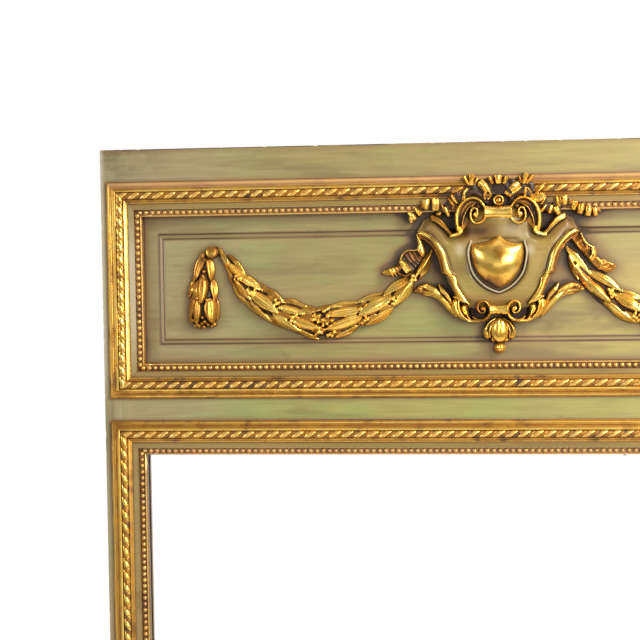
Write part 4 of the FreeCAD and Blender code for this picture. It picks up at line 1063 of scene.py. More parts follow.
# drops of leaves below the pegs
def drop():
    R = Relief(-450, -394, 178, 308, 0.55)
    left = [(-421, 291), (-425, 275), (-430, 262), (-437, 250), (-443, 238), (-442, 225), (-444, 210), (-443, 195),
            (-438, 186)]
    right = [(-411, 286), (-408, 272), (-407, 262), (-407, 250), (-404, 240), (-402, 225), (-400, 210), (-401, 198),
             (-404, 190)]
    out = at(left + [(-430, 183), (-415, 182.5)], 8) + at(right, 8)[::-1]
    L = crv(out, 4, True)[0]
    d, _, _ = nearest(R.X, R.Z, L)
    ins = inside(R.X, R.Z, L[:-1])
    core = np.where(ins, 2.0 + 11.0 * (1 - np.exp(-np.clip(d - 1.0, 0, None) / 8.5)), 0)
    R.core = np.where(ins, np.minimum(core, blur(np.where(ins, core, 1.5), 3.0) + 0.8), 1.6)
    inner = ins & (d > 3.0)
    R.H = np.where(inner, np.clip(R.core - 2.0, 0.6, None), 0)
    R.G[:] = np.where(inner, 1.0, 0.0)
    R.D[:] = np.where(inner, 0.82, 0)
    for a, b, w, h, bend, worn in [
            ((-420, 293), (-430, 260), 8, 3, .03, .2), ((-426, 272), (-438, 248), 8, 3, 0, .25),
            ((-436, 252), (-444, 226), 8, 3, 0, .3), ((-430, 252), (-436, 224), 8, 3, 0, .35),
            ((-436, 232), (-440, 206), 9, 3, 0, .35), ((-404, 226), (-401, 196), 7, 3, 0, .2),
            ((-421, 292), (-436, 249), 7, 4, -.06, .1), ((-414, 285), (-410, 249), 11, 5.5, .04, 0),
            ((-438, 251), (-443, 228), 5.5, 3.6, 0, .25), ((-430, 250), (-431, 224), 6.5, 4.5, 0, .2),
            ((-409, 253), (-405, 222), 11, 5, .03, .12), ((-421, 260), (-424, 218), 16, 7, 0, .02),
            ((-440, 222), (-442, 190), 8, 4, 0, .3), ((-404, 219), (-402, 194), 8, 4.5, 0, .12),
            ((-430, 225), (-432, 186), 12, 6.5, 0, .04), ((-412, 226), (-409, 189), 20, 8.5, 0, 0)]:
        a, b = at([a, b], 6)
        R.leaf(a, b, w, h, bend=bend, prof="leaf", dirt=worn, belly=0.6, low=0.45)
    for i, p in enumerate([(-420, 264), (-422, 258), (-431, 225.5), (-416, 223), (-412, 224), (-423, 198), (-420, 192),
                           (-424.5, 189.5), (-416, 188), (-407, 187.5), (-437.5, 193.5), (-435, 186), (-422, 184.5),
                           (-426, 221), (-420, 254), (-429, 186), (-418, 281), (-411, 185.5)]):
        x, z = at([p], 4)[0]
        R.ball(x, z, 2.6 if i % 3 else 3.0, base=3.2, flat=1.3)
    return R


R = drop()
R.D = np.where(R.H > 0, np.maximum(R.D, 0.42), R.D)
place_relief(R, "drop_left", soften=1.2)
place_relief(R, "drop_right", mirror=True, soften=1.2)


# pegs the swags hang from
def pegs():
    R = Relief(-428, -384, 276, 310, 0.5)
    x, z = at([(-408, 291.5)], 0)[0]
    r = np.hypot(R.X - x, R.Z - z)
    h = np.where(r < 8.4, 20.5 + 3.6 * np.sqrt(np.clip(1 - (r / 8.4) ** 2, 0, 1)) + 1.6 * np.exp(-((r - 6.6) / 0.9) ** 2), 0)
    R.H = h
    R.G[:] = (r < 8.6) * 1.0
    R.D[:] = np.where(r > 7.2, 0.5, 0.34)
    return R


R = pegs()
stamp(R)
stamp(R, True)
p1 = R.mesh("v_swag_peg_left", BASE, M_CARVED, "frame", "swag_pegs", False, "gilding", 0.8)
p2 = R.mesh("v_swag_peg_right", BASE, M_CARVED, "frame", "swag_pegs", True, "gilding", 0.8)


# fluttering ribbon at the inner end of each swag
def swag_ribbon():
    R = Relief(-166, -96, 248, 320, 0.5)
    # strip that falls from the strap, and the loop that turns back over itself
    R.poly(at([(-115, 314), (-110, 309), (-106, 300), (-103, 291), (-103, 284), (-107, 280.5), (-111, 285), (-115, 291),
               (-113, 297), (-114, 305)], 2), lambda d, X, Z: 12.0 + 5.5 * (1 - np.exp(-d / 2.2)) + 0.12 * (X + 110), 1.0)
    R.poly(at([(-108, 289), (-118, 290), (-128, 289.5), (-136, 283), (-138, 274), (-132, 265), (-124, 259), (-117, 264),
               (-108, 277)], 6),
           lambda d, X, Z: 8.0 + 1.0 * np.cos((0.80 * X + 0.60 * Z) * 1.15 + np.sin(Z * 0.3)) * np.clip(d / 3, 0, 1), 0.75, dirt=0.55)
    R.stroke(at([(-109, 291), (-118, 290), (-128, 289.5), (-134, 285), (-137, 278), (-136.5, 272)], 2),
             [2.6, 2.6, 3.0, 3.4, 3.6, 3.4], [17, 17, 17.5, 18, 18, 17], 7, "round")
    R.stroke(at([(-138, 276), (-132.5, 268.5), (-126, 259.5)], 2), [6.5, 11.5, 10], [16, 18, 14], 8, "facet", square=True)
    R.stroke(at([(-138, 266), (-146, 262), (-154, 259.5), (-161, 259)], 4), [7, 11.5, 11, 6], [14, 14.5, 13, 8], 4, "flat", dirt=0.35)
    for x, z, a in ((-151, 258.5, 0), (-146.5, 259.5, .05), (-142, 260.5, .3)):
        R.stroke(at([(x - 2, z + 5), (x, z), (x + 3, z - 4.5)], 4), [3, 3.8, 2.6], [15, 17, 14], 8, "round", dirt=a)
    R.stroke(at([(-140, 258), (-131, 254), (-124, 257)], 6), [3, 4, 3], [9, 11, 9], 3, "round", dirt=0.3)
    return R


def swag_ribbon_r():
    R = Relief(96, 168, 248, 320, 0.5)
    # a strip that waves down to the right and frays into a point
    body = [(102, 304), (108, 311), (116, 313.5), (117.5, 305), (121, 299), (125.5, 294.5), (132, 291.5), (137, 287),
            (135.5, 279), (141, 274), (150, 271), (161.5, 267), (163.5, 262.5), (157, 257), (150, 254.5), (144, 258), (138.5, 260),
            (131, 267), (124, 276), (115, 286.5), (107, 295)]
    R.poly(at(body, 6), lambda d, X, Z: 9.0 + 2.2 * (1 - np.exp(-d / 2.0)) + 1.4 * np.cos((0.66 * X - 0.75 * Z) * 0.42)
           * np.clip(d / 3, 0, 1), 1.0, dirt=0.56)
    R.stroke(at([(103, 303), (109, 296), (114, 289)], 6), [3, 4, 3], [12, 14.5, 13], 8, "round", dirt=0.35)
    R.stroke(at([(114.5, 311), (117, 304.5), (120.5, 298.5), (126, 293.5), (133, 290)], 4), [3, 3.4, 3.6, 3.4, 3],
             [17, 17, 17, 17, 16], 10, "round", dirt=0.10)
    R.stroke(at([(131, 290), (132.5, 281), (128, 273)], 4), [6, 8.5, 7], [15, 16.5, 14], 9, "facet", square=True, dirt=0.04)
    R.stroke(at([(122, 296), (123.5, 288), (121, 281)], 4), [3.4, 4, 3.4], [14, 15, 13], 9, "round", dirt=0.40)
    R.stroke(at([(136, 276.5), (143, 268), (141, 261)], 4), [4, 5.2, 4], [13, 14, 12], 8, "round", square=True, dirt=0.16)
    R.stroke(at([(144, 273), (153, 268.5), (162, 265)], 4), [3, 3.4, 2.6], [12, 12, 9], 6, "round", dirt=0.30)
    R.stroke(at([(146, 262), (154, 260), (161, 262.5)], 4), [4.4, 5, 3], [12, 12, 8.5], 6, "round", dirt=0.45)
    return R


place_relief(swag_ribbon(), "swag_ribbon_left", soften=0.8)
place_relief(swag_ribbon_r(), "swag_ribbon_right", soften=0.8)


# ---- cartouche -----------------------------------------------------------
GND = [(-52, 313), (-58, 309), (-64, 308), (-72, 319), (-82, 329), (-93, 337), (-104, 333), (-114, 316),
       (-106, 309), (-98, 303), (-90, 295), (-83, 284), (-79, 272), (-76, 258), (-70, 243), (-62, 228),
       (-53, 215), (-42, 208), (-30, 206), (-18, 206), (0, 206)]
CORNER_H = 21.0


def membrane(mask, steps=1500):
    """Height of an even film blown up over the outline, 1 at its top."""
    f = mask.astype(float)
    for q in (8, 4, 2, 1):
        m = mask[::q, ::q]
        if q == 8:
            u = np.zeros(m.shape)
        else:
            u = u.repeat(2, 0).repeat(2, 1)
            u = np.pad(u, ((0, max(0, m.shape[0] - u.shape[0])), (0, max(0, m.shape[1] - u.shape[1]))), mode="edge")
            u = u[:m.shape[0], :m.shape[1]] * m
        for _ in range(steps if q > 1 else 260):
            p = np.pad(u, 1)
            u = (0.25 * (p[:-2, 1:-1] + p[2:, 1:-1] + p[1:-1, :-2] + p[1:-1, 2:]) + 0.25 * q * q) * m
    return u / u.max()


def ground():
    R = Relief(-118, 118, 200, 352, 0.6)
    left = at(GND, 0)
    body = left + flip(left)[::-1][1:] + [(52, 316), (53, 335), (30, 347), (0, 347), (-30, 347), (-53, 335), (-52, 316)]
    L = np.array(body + [body[0]])
    d, _, _ = nearest(R.X, R.Z, L)
    ins = inside(R.X, R.Z, L[:-1])
    ax = np.abs(R.X)
    # a cushion that stands up all round, with a soft roll along the straps
    h = 13.0 + 9.5 * (1 - np.exp(-np.clip(d, 0, None) / 10.0)) + 1.8 * np.exp(-((d - 12.0) / 5.0) ** 2)
    # roof-like rise to the scrolls at the top
    up = sstep(R.Z, 302, 332)
    h = h + up * np.clip(14.0 - 0.29 * np.sqrt(ax ** 2 + 30.0), 0, None)
    ear = sstep(ax, 58, 78) * sstep(R.Z, 298, 312)
    h = h - ear * (3.5 + 0.16 * np.clip(ax - 78, 0, None))
    # sinking round the cabochon
    q = np.hypot((R.X) / 38.0, (R.Z - 272) / 40.0)
    h = h - 2.6 * sstep(q, 1.16, 1.0) * (R.Z < 306)
    h = blur(np.where(ins, h, 14.0), 2.0)
    R.H = np.where(ins, h, 0)
    R.G[:] = 0
    cl = np.clip(0.50 - d / 16, 0, 1)
    dark = 0.42 * np.exp(-((R.Z - 219) / 9.0) ** 2) + 0.16 * np.exp(-((R.Z - 324) / 9.0) ** 2) * sstep(ax, 62, 50)
    # the left side of the roof under the scrolls is painted in shade; the ears are darker
    dark = dark + 0.46 * ear + 0.78 * sstep(R.X, 14, -22) * np.exp(-((R.Z - 314) / 15.0) ** 2) * sstep(ax, 66, 52)
    dark = dark + 0.16 * np.exp(-((R.Z - 318) / 12.0) ** 2) * sstep(R.X, 0, 20) * sstep(ax, 60, 48)
    dark = dark + 0.01 + 0.05 * np.sin(R.X / 13.0 + 1.0) * np.sin(R.Z / 17.0)
    # painted shadow in the gap between the rim and the cabochon
    gap = (q > 0.80) & (q < 1.06) & (R.Z < 300)
    dark = np.where(gap, np.maximum(dark, 0.74), dark)
    R.D[:] = np.where(ins, np.clip(np.maximum(cl, dark) * 0.86, 0, 0.85), 0)
    # thin gilt edge of the ears and a fillet beside the straps
    e = [(-63, 310.5), (-68, 314), (-75, 322.5), (-84, 331), (-92, 337)]
    for f in (lambda p: p, flip):
        dull = 0.46 if f is not flip else 0.14
        R.stroke(f(at([(-62.5, 310.5), (-67.5, 314.5), (-74.5, 323), (-83, 331.5), (-91, 336)], 0)), [3.2, 4.0, 5.4, 7.2, 7.6],
                 [23, 22, 20.5, 19, 17], 12, "flat", gilt=1.0, dirt=dull)
        R.stroke(f(at([(-62.5, 309.3), (-68.0, 312.8), (-76.0, 321.0), (-85, 328.8), (-93, 332.5)], 0)), [1.8, 2.0, 2.2, 2.4, 2.2],
                 [24, 23.4, 22.3, 21, 18.5], 14, "round", gilt=1.0, dirt=dull - 0.12)
        R.stroke(f(at([(-97, 312.5), (-88, 304), (-80, 294), (-74, 283), (-70.5, 271), (-67, 260), (-62, 254)], -6)),
                 [1.5, 2.6, 3.0, 3.2, 3.2, 3.0, 2.4], [21, 24.5, 26, 26.5, 26.5, 26, 25], 18, "round", gilt=0.0)
    # thin rim round the cabochon, painted pale along its line as a highlight
    rim = at([(-38.5, 301), (-42, 288), (-41, 274), (-36.5, 258), (-27.5, 245.5), (-16, 236), (-3, 230)], -10)
    rim = rim + [(-x * 0.935, z) for x, z in rim[::-1]]
    R.stroke(rim, 3.0, [25.5 + 1.4 * (i > 0) for i in range(len(rim))], 20, "round", gilt=0.10)
    dr = nearest(R.X, R.Z, crv(rim, 6)[0])[0]
    R.P = 0.70 * np.exp(-(dr / 1.5) ** 4)
    # painted highlights: gloss on the rolls either side of the cabochon, and light on the right of the roof under the
    # scrolls
    for x, z, a, b, v in ((-54, 290, 6.5, 9, 0.50), (45, 289, 5.0, 8, 0.50), (17, 317, 15, 8, 0.44), (35, 309, 11, 6, 0.30)):
        R.P = R.P + v * np.exp(-((R.X - x) / a) ** 2 - ((R.Z - at([(x, z)], -6)[0][1]) / b) ** 2)
    R.P = np.clip(R.P, 0, 0.8)
    return R


R = ground()
place_relief(R, "cartouche_ground", slot="green_paint_carved", soften=0.8)


def shield():
    R = Relief(-44, 44, 228, 318, 0.5)
    half = [(1, 311.5), (-4, 307), (-12, 302), (-22, 299), (-37, 297.5), (-38, 285), (-36, 272), (-30.5, 258.5),
            (-20.5, 246.5), (-8, 237.5), (0, 234.5)]
    other = [(8, 237.5), (20, 246.5), (29, 258.5), (34, 272), (36, 285), (35, 297.5), (21, 299.5), (12, 302), (5, 307)]
    out = at(half, -12) + at(other, -12)
    L = np.array(out + [out[0]])
    d, _, _ = nearest(R.X, R.Z, L)
    ins = inside(R.X, R.Z, L[:-1])
    m = membrane(ins)
    h = 21.5 + 2.4 * np.sqrt(np.clip(d / 3.0, 0, 1)) + 16.5 * m ** 0.80
    R.H = np.where(ins, h, 0)
    R.G[:] = 1
    # painted shade: darker toward the bottom, most at the lower left, along the left edge, toward the top and in a
    # patch just above the middle
    low = 0.40 * sstep(R.Z, 268, 238) * sstep(R.X, 26, -10) + 0.24 * sstep(R.Z, 262, 236)
    low = low + 0.22 * np.exp(-((R.X - 2) / 13.0) ** 2 - ((R.Z - 284) / 9.0) ** 2) + 0.25 * sstep(R.X, -24, -37)
    low = low + 0.14 * sstep(R.Z, 280, 296) + 0.08
    R.D[:] = np.where(ins, np.clip(np.maximum(0.62 - d / 3.0, low), 0, 1), 0)
    return R


R = shield()
place_relief(R, "cartouche_shield", soften=1.6, base=Y0 - 20.0)


# C-scroll straps down the sides, each ending in a husk
def strap():
    R = Relief(-120, -4, 182, 322, 0.5)
    left = [(-114, 313), (-104, 308), (-95, 301.5), (-87, 291.5), (-81.5, 280), (-78.5, 268), (-76.5, 257)]
    right = [(-64.5, 254), (-68, 262), (-71, 272), (-74, 284), (-80, 295), (-88, 304), (-97, 312), (-106, 317)]
    top = lambda d, X, Z: 19.5 + sstep(X, -114, -84) * 7.5 + 2.6 * (1 - np.exp(-d / 1.7)) + 0.10 * (X + 80)
    R.poly(at(left + [(-70, 255)] + right, 0), top, 1.0)
    R.poly(at([(-72, 257), (-69, 246), (-65, 236), (-61, 226), (-59, 221), (-50, 216), (-44, 214), (-40, 211), (-46, 221),
               (-52, 230.5), (-57, 240), (-58.5, 249), (-64, 255)], 0),
           lambda d, X, Z: 25.5 + 2.8 * (1 - np.exp(-d / 1.7)) + 0.10 * (X + 58), 1.0)
    # bevelled wall on the outer side of the strap
    R.stroke(at([(-110, 309), (-100, 303.5), (-91, 295), (-84.5, 284), (-80.5, 272), (-78, 258)], 2),
             [3, 4, 4.6, 5, 5, 4.4], [14, 17, 19, 20, 20, 19], 10, "round", dirt=0.30)
    # knuckles
    for p, q in (((-77.5, 257.5), (-71, 256.5)), ((-62, 223.5), (-56, 222))):
        R.stroke(at([p, q], -3), [3.4, 3.4], 27, 18, "round")
    # husk: outer lobe with its bright rolled edge, then the inner one
    R.poly(at([(-60, 222), (-65, 217), (-66.5, 209), (-63, 200.5), (-56, 194), (-46, 189), (-41, 188), (-47, 194),
               (-52, 201), (-55, 210), (-55, 219)], 0), lambda d, X, Z: 15.5 + 8.0 * (1 - np.exp(-d / 2.6)), 1.0, dirt=0.08)
    R.poly(at([(-50, 214), (-53.5, 208), (-52, 201), (-47, 195), (-42, 190.5), (-37.5, 190), (-41, 196), (-43, 204),
               (-44, 212)], 0), lambda d, X, Z: 16.5 + 8.5 * (1 - np.exp(-d / 2.4)), 1.0, dirt=0.10)
    R.stroke(at([(-55, 221), (-56.5, 213), (-54.5, 203), (-49, 195), (-42, 189.5), (-36, 188)], 0), [4.5, 4.6, 4.2, 3.6, 3, 2.4],
             [25, 26.5, 26, 24.5, 22, 20], 16, "round")
    R.stroke(at([(-46, 204), (-44.5, 198), (-41, 192.5)], 0), [3.0, 3.6, 2.6], [25, 26, 23], 18, "round")
    R.stroke(at([(-43, 190.5), (-35, 189.5), (-28, 189), (-20, 191), (-14, 196.5), (-12, 203)], 0), [3.6, 4.8, 5.2, 5.0, 4.6, 4],
             [20, 22.5, 24, 25, 26, 27], 14, "round")
    return R


R = strap()
outer_edge = [(-114, 313), (-104, 308), (-95, 301.5), (-87, 291.5), (-81.5, 280), (-78.5, 268), (-76.5, 257), (-72, 250),
              (-69, 246), (-65, 236), (-61, 226), (-59, 221)]
inner_edge = [(-106, 317), (-97, 312), (-88, 304), (-80, 295), (-74, 284), (-71, 272), (-68, 262), (-64, 255), (-58.5, 249),
              (-57, 240), (-52, 230.5), (-46, 221), (-40, 211)]
do, di = (nearest(R.X, R.Z, crv(at(e, 0), 6)[0])[0] for e in (outer_edge, inner_edge))
part = di / np.maximum(di + do, 1e-6)
body = (R.H > 0) & (R.Z > at([(0, 224)], 0)[0][1])
# the outer half of the strap is painted in shade, and the very edge next to the field is dark
R.D = np.where(body, np.maximum(R.D, np.maximum(0.52 * sstep(part, 0.48, 0.86), 0.55 * sstep(part, 0.16, 0.03))), R.D)
place_relief(R, "cartouche_strap_left", soften=0.8)
# the right strap gets more painted shade toward its outer side
R.D = np.where(body, np.maximum(R.D, 0.50 * sstep(part, 0.34, 0.66)), R.D)
place_relief(R, "cartouche_strap_right", mirror=True, soften=0.8)


def acanthus():
    R = Relief(-126, -44, 186, 250, 0.5)
    R.poly(at([(-120, 233), (-110, 228), (-100, 227), (-90, 224), (-80, 217), (-72, 208), (-65, 200), (-60, 196),
               (-62, 206), (-66, 216), (-70, 224), (-74, 232), (-79, 240), (-85, 240), (-88, 236), (-94, 240), (-104, 242),
               (-114, 239)], 8),
           lambda d, X, Z: 4.0 + 6.0 * (1 - np.exp(-d / 4.0)), 0.95, dirt=0.62)
    for pts, w, h, worn in [
            ([(-60, 199), (-70, 210), (-80, 221), (-90, 229), (-96, 231)], [5, 8, 8.5, 6, 3], [14, 17, 17, 14, 9], 0),
            ([(-66, 214), (-72, 225), (-79, 233), (-83, 240)], [4, 7.5, 8, 4], [14, 16, 16, 12], .2),
            ([(-80, 224), (-90, 233), (-101, 238), (-113, 238)], [5, 8.5, 9, 4], [13, 16, 15, 9], .12),
            ([(-86, 226), (-97, 230), (-108, 231), (-119, 232)], [4, 5.5, 5.5, 3], [12, 12, 11, 7], .25),
            ([(-60, 196), (-70, 205), (-80, 217), (-92, 225), (-106, 227)], [4, 4.5, 4.6, 4.2, 3], [12, 12, 12, 11, 7], .3)]:
        R.stroke(at(pts, 4), w, h, [k - 7 for k in h], "leaf", dirt=worn)
    R.ball(*at([(-111, 235)], 4)[0], 3.6, base=8, on_core=False, dirt=0.15)
    return R


R = acanthus()
R.D = np.where(R.H > 0, np.maximum(R.D, 0.40 * sstep(-R.X, 92, 108)), R.D)
place_relief(R, "acanthus_left", soften=1.5)
place_relief(R, "acanthus_right", mirror=True, soften=1.5)


# bottom volutes and the spool between them
def spool(R, x0, x1, zc, w0, w1, top, gilt=1.0):
    """Short waisted roll lying across."""
    X, Z = R.X, R.Z
    t = np.clip((X - x0) / (x1 - x0), 0, 1)
    hw = w1 + (w0 - w1) * (2 * t - 1) ** 2
    q = np.abs(Z - zc) / hw
    m = (X >= x0) & (X <= x1) & (q < 1)
    h = top - 0.95 * hw.max() + (0.95 * hw) * np.sqrt(np.clip(1 - q ** 2.4, 0, 1)) + (hw - hw.max()) * 0.35
    m &= h > R.H
    R.H[m], R.G[m], R.D[m] = h[m], gilt, 0


def base_scroll():
    R = Relief(-44, 44, 184, 224, 0.45)
    ring = [(-36, 195), (-30, 190.5), (-22, 190.5), (-15, 195.5), (-12.5, 204), (-14.5, 212), (-20, 217), (-27, 215.5),
            (-29.5, 209), (-28, 203), (-23, 200.5), (-19.5, 203), (-20, 207.5)]
    for f in (lambda p: p, flip):
        R.poly(f(at([(-37, 196), (-30, 191), (-21, 191), (-14, 197), (-13, 205), (-15, 213), (-21, 217), (-30, 217),
                     (-37, 212), (-39, 203)], -2)), lambda d, X, Z: 12.0 + 0 * d, 0.8, dirt=0.92)
        n = len(ring)
        R.stroke(f(at(ring, -4)), [3, 4.4, 4.8, 4.8, 4.8, 4.8, 4.8, 4.6, 4.2, 3.6, 3.2, 3.2, 3.4], np.linspace(26, 31, n),
                 np.linspace(16, 24, n), "round", n=5)
        R.ball(*f(at([(-22.5, 206.5)], -6))[0], 3.3, base=27, on_core=False)
    spool(R, -13, 13, ZS, 7.4, 5.6, 31)
    return R


ZS = at([(0, 205)], -6)[0][1]
R = base_scroll()
# the left volute is darker
R.D = np.where((R.H > 0) & (R.X < -12), np.clip(R.D + 0.40, 0, 1), R.D)
place_relief(R, "cartouche_base_scroll", soften=0.8)


ZB = 175.5


def bud():
    R = Relief(-28, 30, 140, 202, 0.45)
    c = 1.0
    for f in (lambda p: p, lambda p: [(2 * c - x, z) for x, z in p]):
        R.poly(f(at([(-2, 194), (-10, 192), (-18, 185), (-22, 175), (-21, 167), (-17, 163), (-13, 165), (-10, 174), (-5, 186)], 4)),
               lambda d, X, Z: 9.0 + 4.5 * (1 - np.exp(-d / 2.2)), 1.0, dirt=0.25)
        R.stroke(f(at([(-4, 193), (-13, 187), (-18.5, 177), (-18, 167)], 3)), [3, 4.2, 4.6, 3], [12, 15, 16, 13], 8, "round")
        R.stroke(f(at([(-3, 191), (-10, 184), (-13, 175), (-12.5, 166)], 2)), [3.4, 4.2, 4.2, 3], [14, 17, 18, 15], 9, "round",
                 dirt=0.05)
        R.ball(*f(at([(-8, 162.5)], 2))[0], 3.4, base=9, on_core=False, dirt=0.35)
    # middle petal with a crease down it
    p = [(1, 194), (8, 188), (12.6, 180), (13.2, 171), (9.5, 163), (4, 159.5), (1, 159), (-2, 159.5), (-7.5, 163), (-11.2, 171),
         (-10.6, 180), (-6, 188)]
    R.poly(at(p, 0), lambda d, X, Z: 13.0 + 11.0 * np.sqrt(np.clip(1 - ((X - 1) / 12.6) ** 2 - ((Z - ZO * 0 - ZB) / 19.0) ** 2, 0, 1))
           * (1 - 0.10 * np.exp(-((X - 1) / 1.1) ** 2)), 1.0)
    x, z = at([(1, 151)], 4)[0]
    r = np.hypot(R.X - x, R.Z - z)
    h = 4.0 + 11.5 * np.sqrt(np.clip(1 - (r / 8.4) ** 2, 0, 1)) * (1 - 0.06 * np.exp(-((R.X - x) / 1.0) ** 2))
    m = (r < 8.4) & (h > R.H)
    R.H[m] = h[m]
    R.G[m] = 1
    R.D[m] = np.clip((x + 2 - R.X[m]) / 14, 0, .3)
    return R


R = bud()
place_relief(R, "pendant_bud", soften=0.8)


# large volutes at the top and the spool between them
def top_scroll():
    R = Relief(-70, 70, 304, 368, 0.45)
    outer = [(-56, 318), (-57.5, 327), (-57.5, 337), (-54.5, 348), (-48, 357), (-39, 362), (-30, 361.5), (-23, 356.5),
             (-18.5, 349), (-17, 340), (-19.5, 331.5), (-26, 327), (-33, 327.5), (-37.5, 333), (-38, 341), (-35, 347.5),
             (-30, 347), (-28.5, 341), (-30, 335)]
    for f in (lambda p: p, flip):
        # the hollow face of the scroll
        R.poly(f(at([(-57, 318), (-57, 338), (-53, 350), (-45, 359), (-35, 362), (-24, 357), (-18, 346), (-19, 333), (-27, 327),
                     (-40, 327), (-48, 318), (-50, 312)], -10)), lambda d, X, Z: 25.0 + 0 * d, 0.9, dirt=0.54)
        R.poly(f(at([(-29, 355), (-22, 351), (-19, 341), (-22, 332), (-28, 329), (-36, 331), (-41, 341), (-38, 350)], -10)),
               lambda d, X, Z: 17.5 + 0 * d, 0.9, dirt=0.95, mode="cut")
        n = len(outer)
        R.stroke(f(at(outer, -16)), [6.0, 6.8, 7.0, 6.6, 5.8, 5.0, 4.8, 4.6, 4.6, 4.8, 4.8, 4.6, 4.4, 4.2, 4.0, 3.8, 3.8, 3.8, 3.4],
                 np.linspace(33, 40, n), np.linspace(20, 32, n), "round", n=4)
        R.stroke(f(at([(-50, 314), (-49.5, 328), (-46, 340), (-40, 349.5), (-32, 354)], -14)), [1.6, 2, 2.2, 2.2, 1.8],
                 [29.5, 32, 33.5, 34, 34], 24, "round", gilt=0.8, dirt=0.1)
        R.ball(*f(at([(-30.5, 339)], -16))[0], 4.2, base=33, on_core=False)
        # the turned-out foot of the scroll
        R.stroke(f(at([(-53, 321), (-53, 314), (-58, 311.5), (-66, 309.5)], -10)), [5.0, 6.0, 6.5, 5.0], [31, 31, 29, 25], 20,
                 "leaf")
    spool(R, -19, 19, ZT, 9.6, 8.0, 40)
    return R


ZT = at([(0, 342)], -16)[0][1]
R = top_scroll()
place_relief(R, "cartouche_top_scroll", soften=0.8)


# ribbon bow; it stands in front of the moulding
def bow():
    R = Relief(-60, 74, 344, 400, 0.45)
    gp = lambda *p: at(p, -18)
    # the body of the knot: ribbon seen from its dull side
    R.poly(gp((-50, 362), (-49, 372), (-44, 379), (-44, 387), (-36, 389), (-28, 387), (-16, 389), (0, 389), (16, 389),
              (28, 388), (36, 389), (46, 385), (52, 380), (50, 368), (46, 362), (38, 367), (26, 364), (16, 354), (0, 350),
              (-16, 354), (-26, 364), (-38, 366)),
           lambda d, X, Z: 29.5 + 1.6 * (1 - np.exp(-d / 2)) + 0.7 * np.cos(0.55 * X + 0.25 * Z), 1.0, dirt=0.84)
    for sx in (-1, 1):
        R.poly(gp((sx * 45, 363), (sx * 44, 371), (sx * 36, 374), (sx * 27, 371), (sx * 19, 363), (sx * 25, 365), (sx * 35, 367)),
               lambda d, X, Z: 31.5 + 1.8 * (1 - np.exp(-d / 2)), 1.0, dirt=0.72)
    # hollow of the knot
    R.poly(gp((-10, 375), (-6, 368), (1, 365), (8, 367), (12.5, 374), (9, 380), (1, 383), (-7, 381)),
           lambda d, X, Z: 30.3 + 0 * d, 1.0, dirt=1.0, mode="cut")
    R.poly(gp((-14, 360), (-9, 353), (0, 350.5), (12, 353), (16, 360), (10, 366), (1, 366), (-9, 366)),
           lambda d, X, Z: 26.5 + 0 * d, 1.0, dirt=0.95, mode="cut")
    # fans of pleats, left and right: tubes that open upwards
    R.stroke(gp((-39.5, 380), (-43.5, 387), (-47, 393)), [4, 5, 6.5], [33, 36, 37], 31, "round", square=True, dirt=0.15)
    R.stroke(gp((-33, 380), (-30, 386), (-27.5, 390)), [3.4, 4.6, 4.8], [32, 34.5, 34], 29, "round", square=True, dirt=0.12)
    R.stroke(gp((-36, 379.5), (-36.5, 387), (-36, 395)), [5, 6.5, 9], [35, 39, 41], 32, "round", square=True)
    R.stroke(gp((40, 381), (45, 387), (50, 392.5)), [4, 5, 6], [33, 36, 37], 30, "round", square=True, dirt=0.08)
    R.stroke(gp((33, 381), (31.5, 387), (30, 392)), [3.8, 5, 5.4], [32, 35, 35], 29, "round", square=True, dirt=0.30)
    R.stroke(gp((36, 380.5), (38, 388), (40.5, 396)), [5, 7, 8.5], [35, 39, 41], 32, "round", square=True)
    # middle fan
    R.stroke(gp((-6, 381), (-9, 386.5), (-12, 392)), [5.5, 6.5, 7.5], [35, 38, 39], 31, "round", square=True, dirt=0.26)
    R.stroke(gp((8.5, 381), (10.8, 386.5), (13, 392)), [5.5, 6.5, 7.5], [35, 38, 39], 31, "round", square=True, dirt=0.10)
    R.stroke(gp((1.5, 381), (1, 387), (1, 393.5)), [7.5, 9.5, 13], [38, 41.5, 42], 33, "round", square=True)
    # loops: folded blocks
    R.stroke(gp((-25, 386), (-19, 380), (-12, 372)), [9, 11, 8], [34, 39, 36], 31, "round", square=True)
    R.stroke(gp((-27, 380), (-21, 375), (-15, 369)), [3, 3.6, 3], [33, 35, 33], 30, "round", dirt=0.25)
    R.stroke(gp((17.5, 372), (23.5, 377.5), (30.5, 382)), [9, 12, 8], [34, 40, 35], 31, "round", square=True)
    R.stroke(gp((20, 367.5), (26, 371), (32, 376)), [3.4, 4, 3.4], [33, 36, 33], 30, "round")
    R.stroke(gp((-18, 361), (-18.5, 367), (-13.5, 372.5), (-9.5, 366), (-13, 360)), [3.4, 4, 4, 4, 3], [33, 35, 37, 35, 32], 29,
             "round", dirt=0.1)
    R.stroke(gp((-16, 366), (-12.5, 366)), [5, 5], [33, 33], 30, "round", dirt=0.45)
    R.stroke(gp((10, 371), (13.5, 367), (18.5, 363.5)), [5, 6.4, 5], [34, 37, 34], 30, "round", square=True)
    # bands that arch over the volutes
    R.stroke(gp((-47.5, 362), (-47, 369), (-43, 375)), [4.4, 4.6, 4.4], [33, 35, 34], 30, "round", dirt=0.04)
    R.stroke(gp((39, 375), (38.5, 370), (38, 365)), [4, 4.6, 4], [34, 35, 33], 30, "round", dirt=0.10)
    R.stroke(gp((42, 375), (46, 368), (47.5, 362)), [3, 3.4, 3], [33, 34, 31], 29, "round", dirt=0.30)
    # ring of the knot and the ball it holds
    t = np.linspace(0, 2 * math.pi, 20, endpoint=False)
    R.stroke(gp(*[(1.2 + 6.3 * math.cos(a), 358.5 + 6.2 * math.sin(a)) for a in t]), 3.6, 39, 32, "round", closed=True, n=3)
    R.ball(*gp((1.2, 358.5))[0], 4.4, base=33, on_core=False, dirt=0.1)
